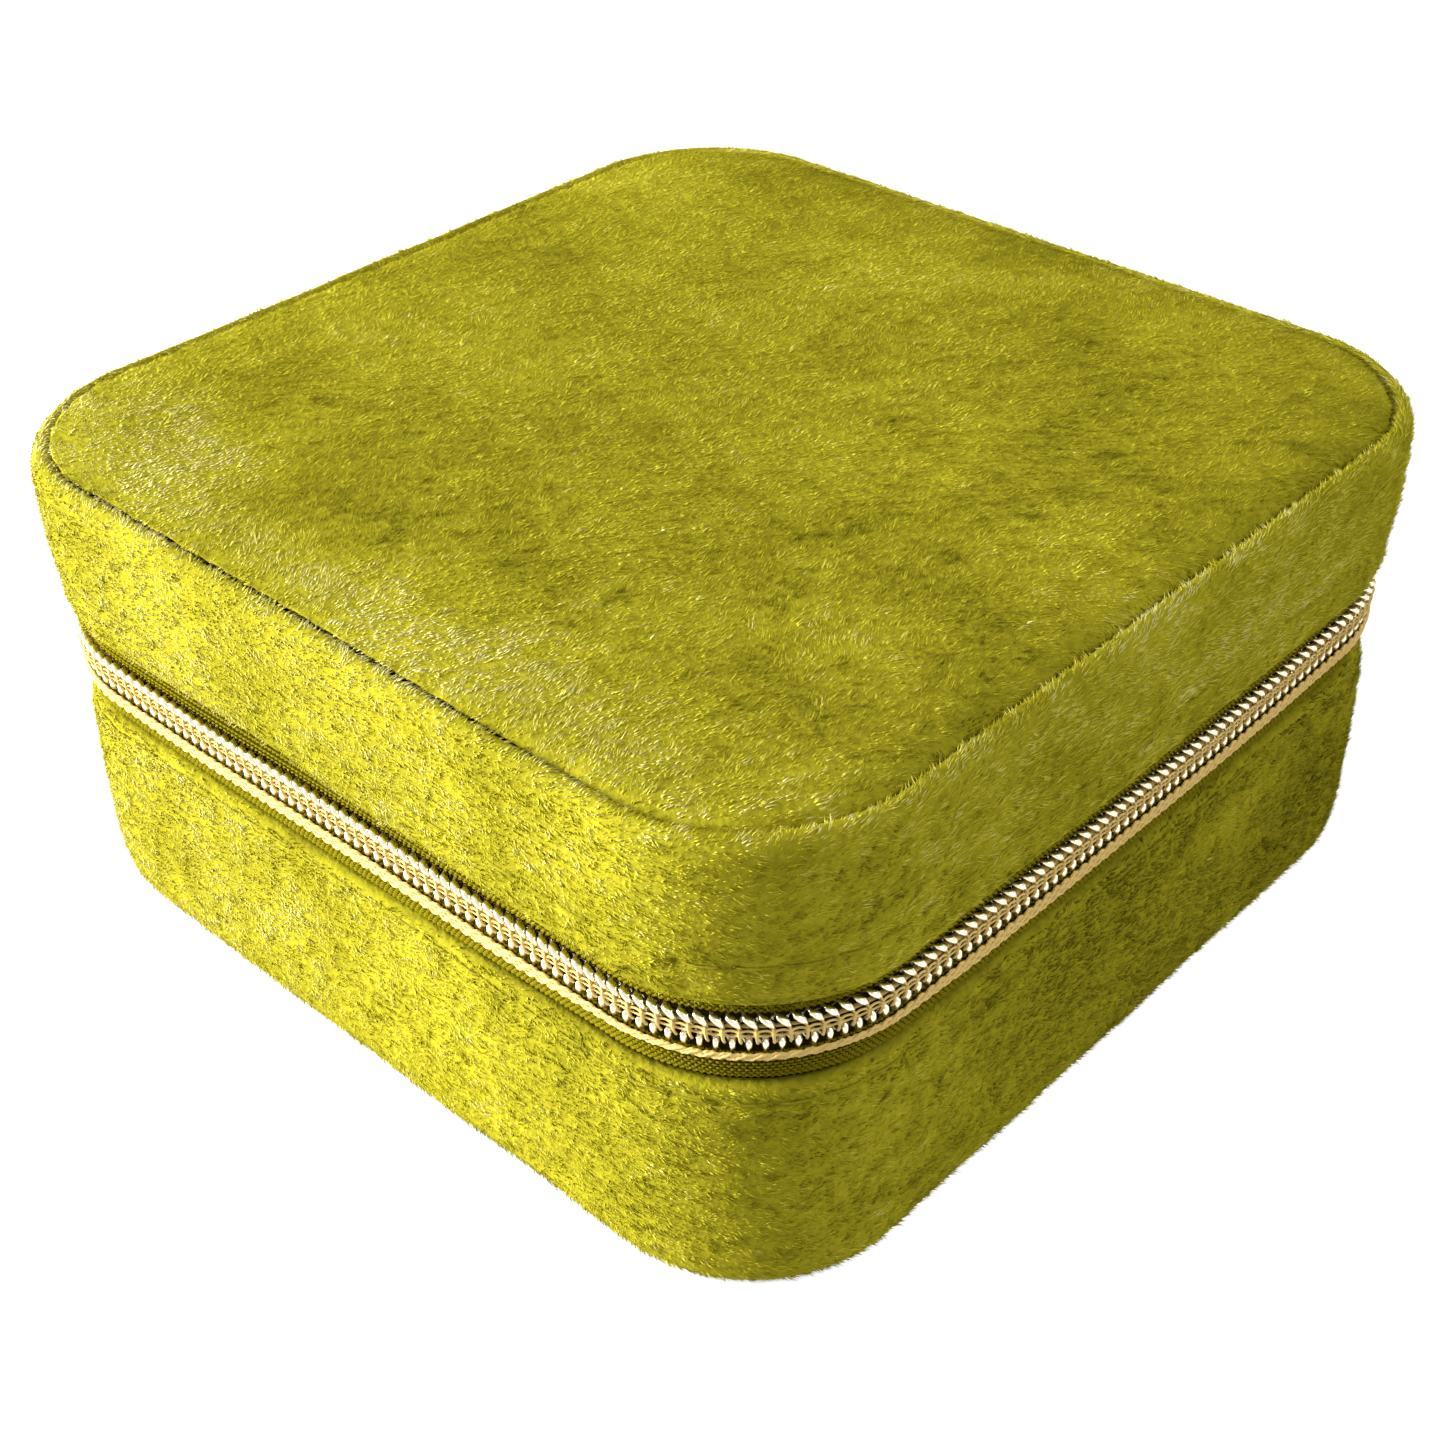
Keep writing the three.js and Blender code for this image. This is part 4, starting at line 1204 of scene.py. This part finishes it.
class CASE_OT_tape(bpy.types.Operator):
    """Woven tape behind the chain, on base and lid"""
    bl_idname = "case.tape"
    bl_label = "Zip Tape"

    BASE_LINE = [(2.3, 30.72), (2.25, 30.2), (1.7, 29.6), (0.85, 29.1), (0.55, 28.6), (0.45, 28.0),
                 (0.5, 27.3), (0.65, 26.8), (0.95, 26.3), (1.5, 25.7), (2.1, 24.8), (2.3, 22.6)]
    LID_LINE = [(2.3, 30.9), (2.3, 32.3), (1.9, 32.8), (1.2, 32.92), (0.9, 33.1), (0.85, 33.4),
                (0.95, 33.9), (1.4, 34.6), (2.2, 35.4), (2.3, 37.4)]

    def execute(self, context):
        made = finishes(context.scene.jewelry_case)
        for name, body, node, line, heights in (
                ("tape_base", "base", "zip_tape_base", self.BASE_LINE,
                 np.arange(28.95, 26.2, -0.31)),
                ("tape_lid", "lid", "zip_tape_lid", self.LID_LINE,
                 (33.06, 33.29, 33.52, 33.72, 33.9))):
            back = [(inset + 0.5, z) for inset, z in line[::-1]]
            mesh = mesh_of(sweep(pairs(line, 0.4) + back, ZIP_START - 0.8, ZIP_END + 0.5, 1.2))
            self.lift(mesh)
            own_mesh(name, mesh, body, made["tape_ground_shaded"], (node,))
            level = np.array(line)[np.argsort([z for _, z in line])]
            s = np.arange(ZIP_START - 0.6, ZIP_END + 0.3, WEAVE_PITCH / 3)
            strands = []
            for row, z in enumerate(heights):
                out = np.cos(2 * math.pi * s / WEAVE_PITCH + math.pi * row)
                height = settle(s, np.full(len(s), z))
                inset = np.interp(z, level[:, 1], level[:, 0])
                strands.append(spot(s, inset + 0.02 - 0.13 * out, height + 0.03 * out))
            tubes(f"{name}_weave", strands, WEAVE_THREAD, body,
                  made["tape_thread"], 0)
        return {"FINISHED"}

    def lift(self, mesh):
        """Moves a tape with the zip's rise and fall."""
        points = points_of(mesh)
        s, _ = place_on_way(points[:, 0], points[:, 1])
        points[:, 2] = settle(s, points[:, 2])
        move_points(mesh, points)


class CASE_OT_slider(bpy.types.Operator):
    """Slider with its bridge, link and pull tab, and the stops at the zip's end"""
    bl_idname = "case.slider"
    bl_label = "Slider and Stops"

    def execute(self, context):
        gold = finishes(context.scene.jewelry_case)["gold_plate"]
        bm = bmesh.new()
        half = [(22.05, 1.9), (22.9, 2.9), (27.0, 3.35), (30.2, 3.7), (31.55, 2.7)]
        outline = [(y, CLOSING - z) for y, z in half] + [(y, CLOSING + z) for y, z in half[::-1]]
        plate(bm, outline, -51.15, -50.15, 0.32)
        plate(bm, outline, -47.0, -46.2, 0.25)
        block(bm, (-50.4, 28.75, CLOSING - 0.4), (-46.8, 30.95, CLOSING + 0.4), 0.15)
        for side in (-1, 1):
            for low, high in ((-50.4, -49.55), (-47.45, -46.8)):
                heights = sorted((CLOSING + side * 3.2, CLOSING + side * 2.5))
                block(bm, (low, 23.2, heights[0]), (high, 29.9, heights[1]), 0.14)
        own_mesh("slider_shell", mesh_of(bm), "slider", gold, ("slider_body",))
        arch = rounded([(x, y, CLOSING) for x, y in (
            (-50.6, 23.95), (-52.2, 23.98), (-53.2, 24.5), (PULL_X, 25.6), (PULL_X, 28.0),
            (-53.2, 29.1), (-52.2, 29.62), (-50.6, 29.65))], 0.25)
        bridge = tubes("slider_arch", [arch], 0.6, "slider", gold, 3)
        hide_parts("slider_bridge")
        ring = arc(PULL_X, 30.8, 1.65, 0, 180, 14) + arc(PULL_X, 27.3, 1.65, 180, 360, 14)
        link = tubes("pull_ring", [[(x, PULL_Y, z) for x, z in ring]], 0.5, "pull_link",
                     gold, 3, cyclic=True)
        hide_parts("pull_link")
        outline = (arc(0, 25.65, 2.0, -52, 232, 24) + [(-1.6, 23.2), (-2.3, 21.8)]
                   + arc(-1.3, 9.85, 1.2, 180, 270, 6) + arc(1.3, 9.85, 1.2, 270, 360, 6)
                   + [(2.3, 21.8), (1.6, 23.2)])
        hole = arc(0, 25.65, 0.9, 0, 345, 23)
        slot = arc(0, 12.35, 1.1, 180, 360, 10) + arc(0, 17.15, 1.1, 0, 180, 10)
        flat_piece("pull_plate", [outline, hole, slot], 1.0, 0.22,
                   lambda p: np.column_stack([p[:, 2] + PULL_X, p[:, 0] + PULL_Y, p[:, 1]]),
                   "pull_tab", gold, ("pull_tab",))
        for name, body, node, low, high in (
                ("stop_base", "base", "zip_stop_base", 28.4, 30.25),
                ("stop_lid", "lid", "zip_stop_lid", 31.35, 33.2)):
            bm = bmesh.new()
            block(bm, (-50.05, 31.7, low), (-47.9, 33.0, high), 0.3)
            own_mesh(name, mesh_of(bm), body, gold, (node,))
        return {"FINISHED"}


class CASE_OT_lining(bpy.types.Operator):
    """Lining of base and lid, folded over the rims"""
    bl_idname = "case.lining"
    bl_label = "Lining"

    def execute(self, context):
        made = finishes(context.scene.jewelry_case)
        cloth = made["lining_velvet"]
        wall = [(6.75, 4.3), (6.72, 10), (6.78, 17), (6.72, 24), (6.75, 29.6), (6.6, 30.3),
                (6.2, 30.66), (5.6, 30.74), (4.5, 30.74), (3.9, 30.6), (3.6, 30.2), (3.58, 27.5),
                (3.65, 24.6)]
        back = [(3.95, 24.6), (3.98, 30.4), (4.2, 30.53), (5.8, 30.53), (5.95, 30.3),
                (5.95, 4.1), (6.7, 4.1)]
        for name, body, node, flip in (("lining_base", "base", "base_lining", None),
                                       ("lining_lid", "lid", "lid_lining", 61.55)):
            line = list(dict.fromkeys(pairs(wall, 0.8) + finer(back, 2.0)[:-1]))
            if flip:
                line = [(inset, max(flip - z, 0) if z > 16.7 else 44.85 - (z - 4.1) * 0.05)
                        for inset, z in line if z > 16.7 or z < 4.35]
            mesh = mesh_of(sweep(line, step=1.5))
            self.soften(mesh, 6.2)
            own_mesh(name, mesh, body, cloth, (node,))
        for name, body, low, high, node in (("lining_floor", "base", 4.1, 4.95, "base_lining"),
                                            ("lining_ceiling", "lid", 44.85, 44.05, "lid_lining")):
            flat = flat_grid(70)
            edge, ring = squared_disc(flat, 6.7)
            inset = (1 - ring) * 43
            soft = 0.06 * ruffle(np.column_stack([edge, inset * 0]), 71, 9)
            skin = np.column_stack([edge, high + np.sign(low - high) * (
                0.25 * np.exp(-inset / 0.8) + soft * np.clip(inset / 4, 0, 1) * 0.5 + 0.02)])
            pad(flat, skin, (6.6, low), name, body, cloth, (node,))
        return {"FINISHED"}

    def soften(self, mesh, inner):
        """Slight waves of glued cloth on the inside of a wall."""
        points = points_of(mesh)
        _, inset, out = ways_of(points)
        wave = 0.05 * ruffle(points, 72, 8) * (inset > inner)
        points[:, :2] -= out * (np.clip(wave, -0.06, 0.1))[:, None]
        move_points(mesh, points)


class CASE_OT_inside(bpy.types.Operator):
    """Ring rolls, partition and the two dividers that lift out"""
    bl_idname = "case.inside"
    bl_label = "Rolls and Dividers"

    def execute(self, context):
        cloth = finishes(context.scene.jewelry_case)["lining_velvet"]
        for roll in range(4):
            low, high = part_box(f"ring_roll_{roll + 1}")
            low, high = low / MM, high / MM
            radius, middle = (high.x - low.x) / 2, (high.x + low.x) / 2
            section = [(low.x + 0.3, low.z), (high.x - 0.3, low.z), (high.x, low.z + 0.4)]
            section += arc(middle, high.z - radius, radius, 0, 180, 22)
            section += [(low.x, low.z + 0.4)]
            mesh = mesh_of(bar(finer(section, 1.0), low.y, high.y, 1.2))
            points = points_of(mesh)
            self.fit(points)
            points += at_vertices(mesh, "normal") * (0.07 * ruffle(points, 81 + roll, 7))[:, None]
            self.fit(points)
            move_points(mesh, points)
            own_mesh(f"roll_{roll + 1}", mesh, "base", cloth, (f"ring_roll_{roll + 1}",))
        for name, node, body, across in (("partition_wall", "partition", "base", False),
                                         ("divider_front_wall", "divider_front",
                                          "divider_front", True),
                                         ("divider_back_wall", "divider_back",
                                          "divider_back", True)):
            low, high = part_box(node)
            low, high = low / MM, high / MM
            a, b = (low.y, high.y) if across else (low.x, high.x)
            r = (b - a) / 2
            section = [(a + 0.25, low.z), (b - 0.25, low.z), (b, low.z + 0.5)]
            section += arc((a + b) / 2, high.z - r * 0.8, r, 0, 180, 12)
            section += [(a, low.z + 0.5)]
            section = [(x, min(z, high.z)) for x, z in section]
            ends = (low.x, high.x) if across else (low.y, high.y)
            mesh = mesh_of(bar(finer(section, 0.8), *ends, 0.7, 0.8, across))
            points = points_of(mesh)
            points += at_vertices(mesh, "normal") * (0.04 * ruffle(points, 91, 6))[:, None]
            self.fit(points)
            move_points(mesh, points)
            own_mesh(name, mesh, body, cloth, (node,))
        return {"FINISHED"}

    def fit(self, points):
        """Keeps points inside the room between the linings."""
        _, inset, out = ways_of(points)
        points[:, :2] -= out * np.clip(6.9 - inset, 0, None)[:, None]


class CASE_OT_mirror(bpy.types.Operator):
    """Mirror in the lid with its padded frame"""
    bl_idname = "case.mirror"
    bl_label = "Mirror"

    def execute(self, context):
        made = finishes(context.scene.jewelry_case)
        low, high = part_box("mirror")
        x, y = high.x / MM, high.y / MM
        middle = (low.z + high.z) / 2 / MM
        outline = (arc(x - 5, y - 5, 5, 0, 90, 9) + arc(5 - x, y - 5, 5, 90, 180, 9)
                   + arc(5 - x, 5 - y, 5, 180, 270, 9) + arc(x - 5, 5 - y, 5, 270, 360, 9))
        flat_piece("mirror_glass", [outline], 1.5, 0.3,
                   lambda p: p + np.array([0, 0, middle]), "lid", made["mirror_glass"],
                   ("mirror",))
        length, path = oblong_way(x, y, 5)
        profile = [(-0.1, 43.9), (-0.1, 42.3), (0.6, 42.28), (1.15, 42.1), (1.2, 41.8),
                   (0.7, 41.45), (-0.4, 41.36), (-1.6, 41.45), (-2.4, 41.85), (-2.75, 42.6),
                   (-2.8, 43.9)]
        mesh = mesh_of(sweep(pairs(profile, 0.35), 0, length, 0.7, path))
        own_mesh("mirror_rim", mesh, "lid", made["lining_velvet"], ("mirror_frame",))
        return {"FINISHED"}


class CASE_OT_boards(bpy.types.Operator):
    """Finish of the boards that stiffen the walls"""
    bl_idname = "case.boards"
    bl_label = "Boards"

    def execute(self, context):
        card = finishes(context.scene.jewelry_case)["grey_board"]
        for name in ("base_board", "lid_board", "ring_board"):
            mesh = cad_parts[name].data
            mesh.materials.clear()
            mesh.materials.append(card)
        return {"FINISHED"}


class CASE_OT_stage(bpy.types.Operator):
    """Pale floor, soft lamps and the camera"""
    bl_idname = "case.stage"
    bl_label = "Stage"

    def execute(self, context):
        scene = context.scene
        self.floor()
        self.backdrop(scene)
        for name, place, size, power in LAMPS:
            data = bpy.data.lights.new(name, "AREA")
            data.shape, data.size, data.energy = "SQUARE", size, power
            lamp = linked(name, data)
            lamp.location = place
            lamp.rotation_euler = (Vector((0, 0, 0.025)) - Vector(place)).to_track_quat(
                "-Z", "Y").to_euler()
        self.camera(scene)
        scene.view_settings.view_transform = "Standard"
        return {"FINISHED"}

    def floor(self):
        """A pale floor that the camera, gloss and glass see as white."""
        mesh = flat_grid(1, 4, "floor")
        piece = linked("floor", mesh)
        n = Nodes("pale_floor")
        n.set(Base_Color=(0.62, 0.62, 0.62, 1), Roughness=0.9, Specular_IOR_Level=0.0)
        path = n.add("ShaderNodeLightPath")
        seen = n.math("MAXIMUM", n.math("MAXIMUM", path.outputs["Is Camera Ray"],
                                        path.outputs["Is Glossy Ray"]),
                      path.outputs["Is Transmission Ray"])
        n.link(n.math("MULTIPLY", seen, 0.8), n.shader.inputs["Emission Strength"])
        n.set(Emission_Color=(1, 1, 1, 1))
        mesh.materials.append(n.material)

    def backdrop(self, scene):
        """A world that is white to the camera, gloss and glass, and a dim light otherwise."""
        world = bpy.data.worlds.new("studio")
        scene.world = world
        world.use_nodes = True
        tree = world.node_tree
        path = tree.nodes.new("ShaderNodeLightPath")
        background = tree.nodes["Background"]
        background.inputs["Color"].default_value = (1, 1, 1, 1)
        seen = path.outputs["Is Camera Ray"]
        for other in ("Is Glossy Ray", "Is Transmission Ray"):
            either = tree.nodes.new("ShaderNodeMath")
            either.operation = "MAXIMUM"
            tree.links.new(seen, either.inputs[0])
            tree.links.new(path.outputs[other], either.inputs[1])
            seen = either.outputs[0]
        level = tree.nodes.new("ShaderNodeMapRange")
        level.inputs["To Min"].default_value = 0.15
        level.inputs["To Max"].default_value = 1.0
        tree.links.new(seen, level.inputs["Value"])
        tree.links.new(level.outputs["Result"], background.inputs["Strength"])

    def camera(self, scene):
        """The camera at the photograph's viewing angle."""
        yaw, pitch, roll = (math.radians(a) for a in CAMERA_TURN)
        ahead = Vector((math.cos(pitch) * math.cos(yaw), math.cos(pitch) * math.sin(yaw),
                        math.sin(pitch)))
        level = ahead.cross(Vector((0, 0, 1))).normalized()
        up = level.cross(ahead)
        right = level * math.cos(roll) + up * math.sin(roll)
        upright = up * math.cos(roll) - level * math.sin(roll)
        data = bpy.data.cameras.new("camera")
        data.sensor_fit = "HORIZONTAL"
        data.sensor_width, data.lens = 36, CAMERA_LENS
        data.clip_start, data.clip_end = 0.01, 20
        camera = linked("camera", data)
        turn = Matrix((right, upright, -ahead)).transposed().to_4x4()
        camera.matrix_world = Matrix.Translation(CAMERA_PLACE) @ turn
        scene.camera = camera


class CASE_PT_panel(bpy.types.Panel):
    """Lists the steps and sizes of the case"""
    bl_label = "Jewelry Case"
    bl_idname = "CASE_PT_panel"
    bl_space_type = "VIEW_3D"
    bl_region_type = "UI"
    bl_category = "Jewelry Case"

    def draw(self, context):
        for name in CaseFinish.__annotations__:
            self.layout.prop(context.scene.jewelry_case, name)
        for step in STEPS:
            self.layout.operator(step.bl_idname)


STEPS = (CASE_OT_stage, CASE_OT_walls, CASE_OT_panels, CASE_OT_pile, CASE_OT_hinge,
         CASE_OT_stitches, CASE_OT_chain, CASE_OT_tape, CASE_OT_slider, CASE_OT_lining,
         CASE_OT_inside, CASE_OT_mirror, CASE_OT_boards)
CLASSES = (CaseFinish, *STEPS, CASE_PT_panel)


def register():
    for kind in CLASSES:
        bpy.utils.register_class(kind)
    bpy.types.Scene.jewelry_case = PointerProperty(type=CaseFinish)


def unregister():
    del bpy.types.Scene.jewelry_case
    for kind in reversed(CLASSES):
        bpy.utils.unregister_class(kind)


def main():
    register()
    for step in STEPS:
        group, name = step.bl_idname.split(".")
        getattr(getattr(bpy.ops, group), name)()


if __name__ == "__main__":
    main()
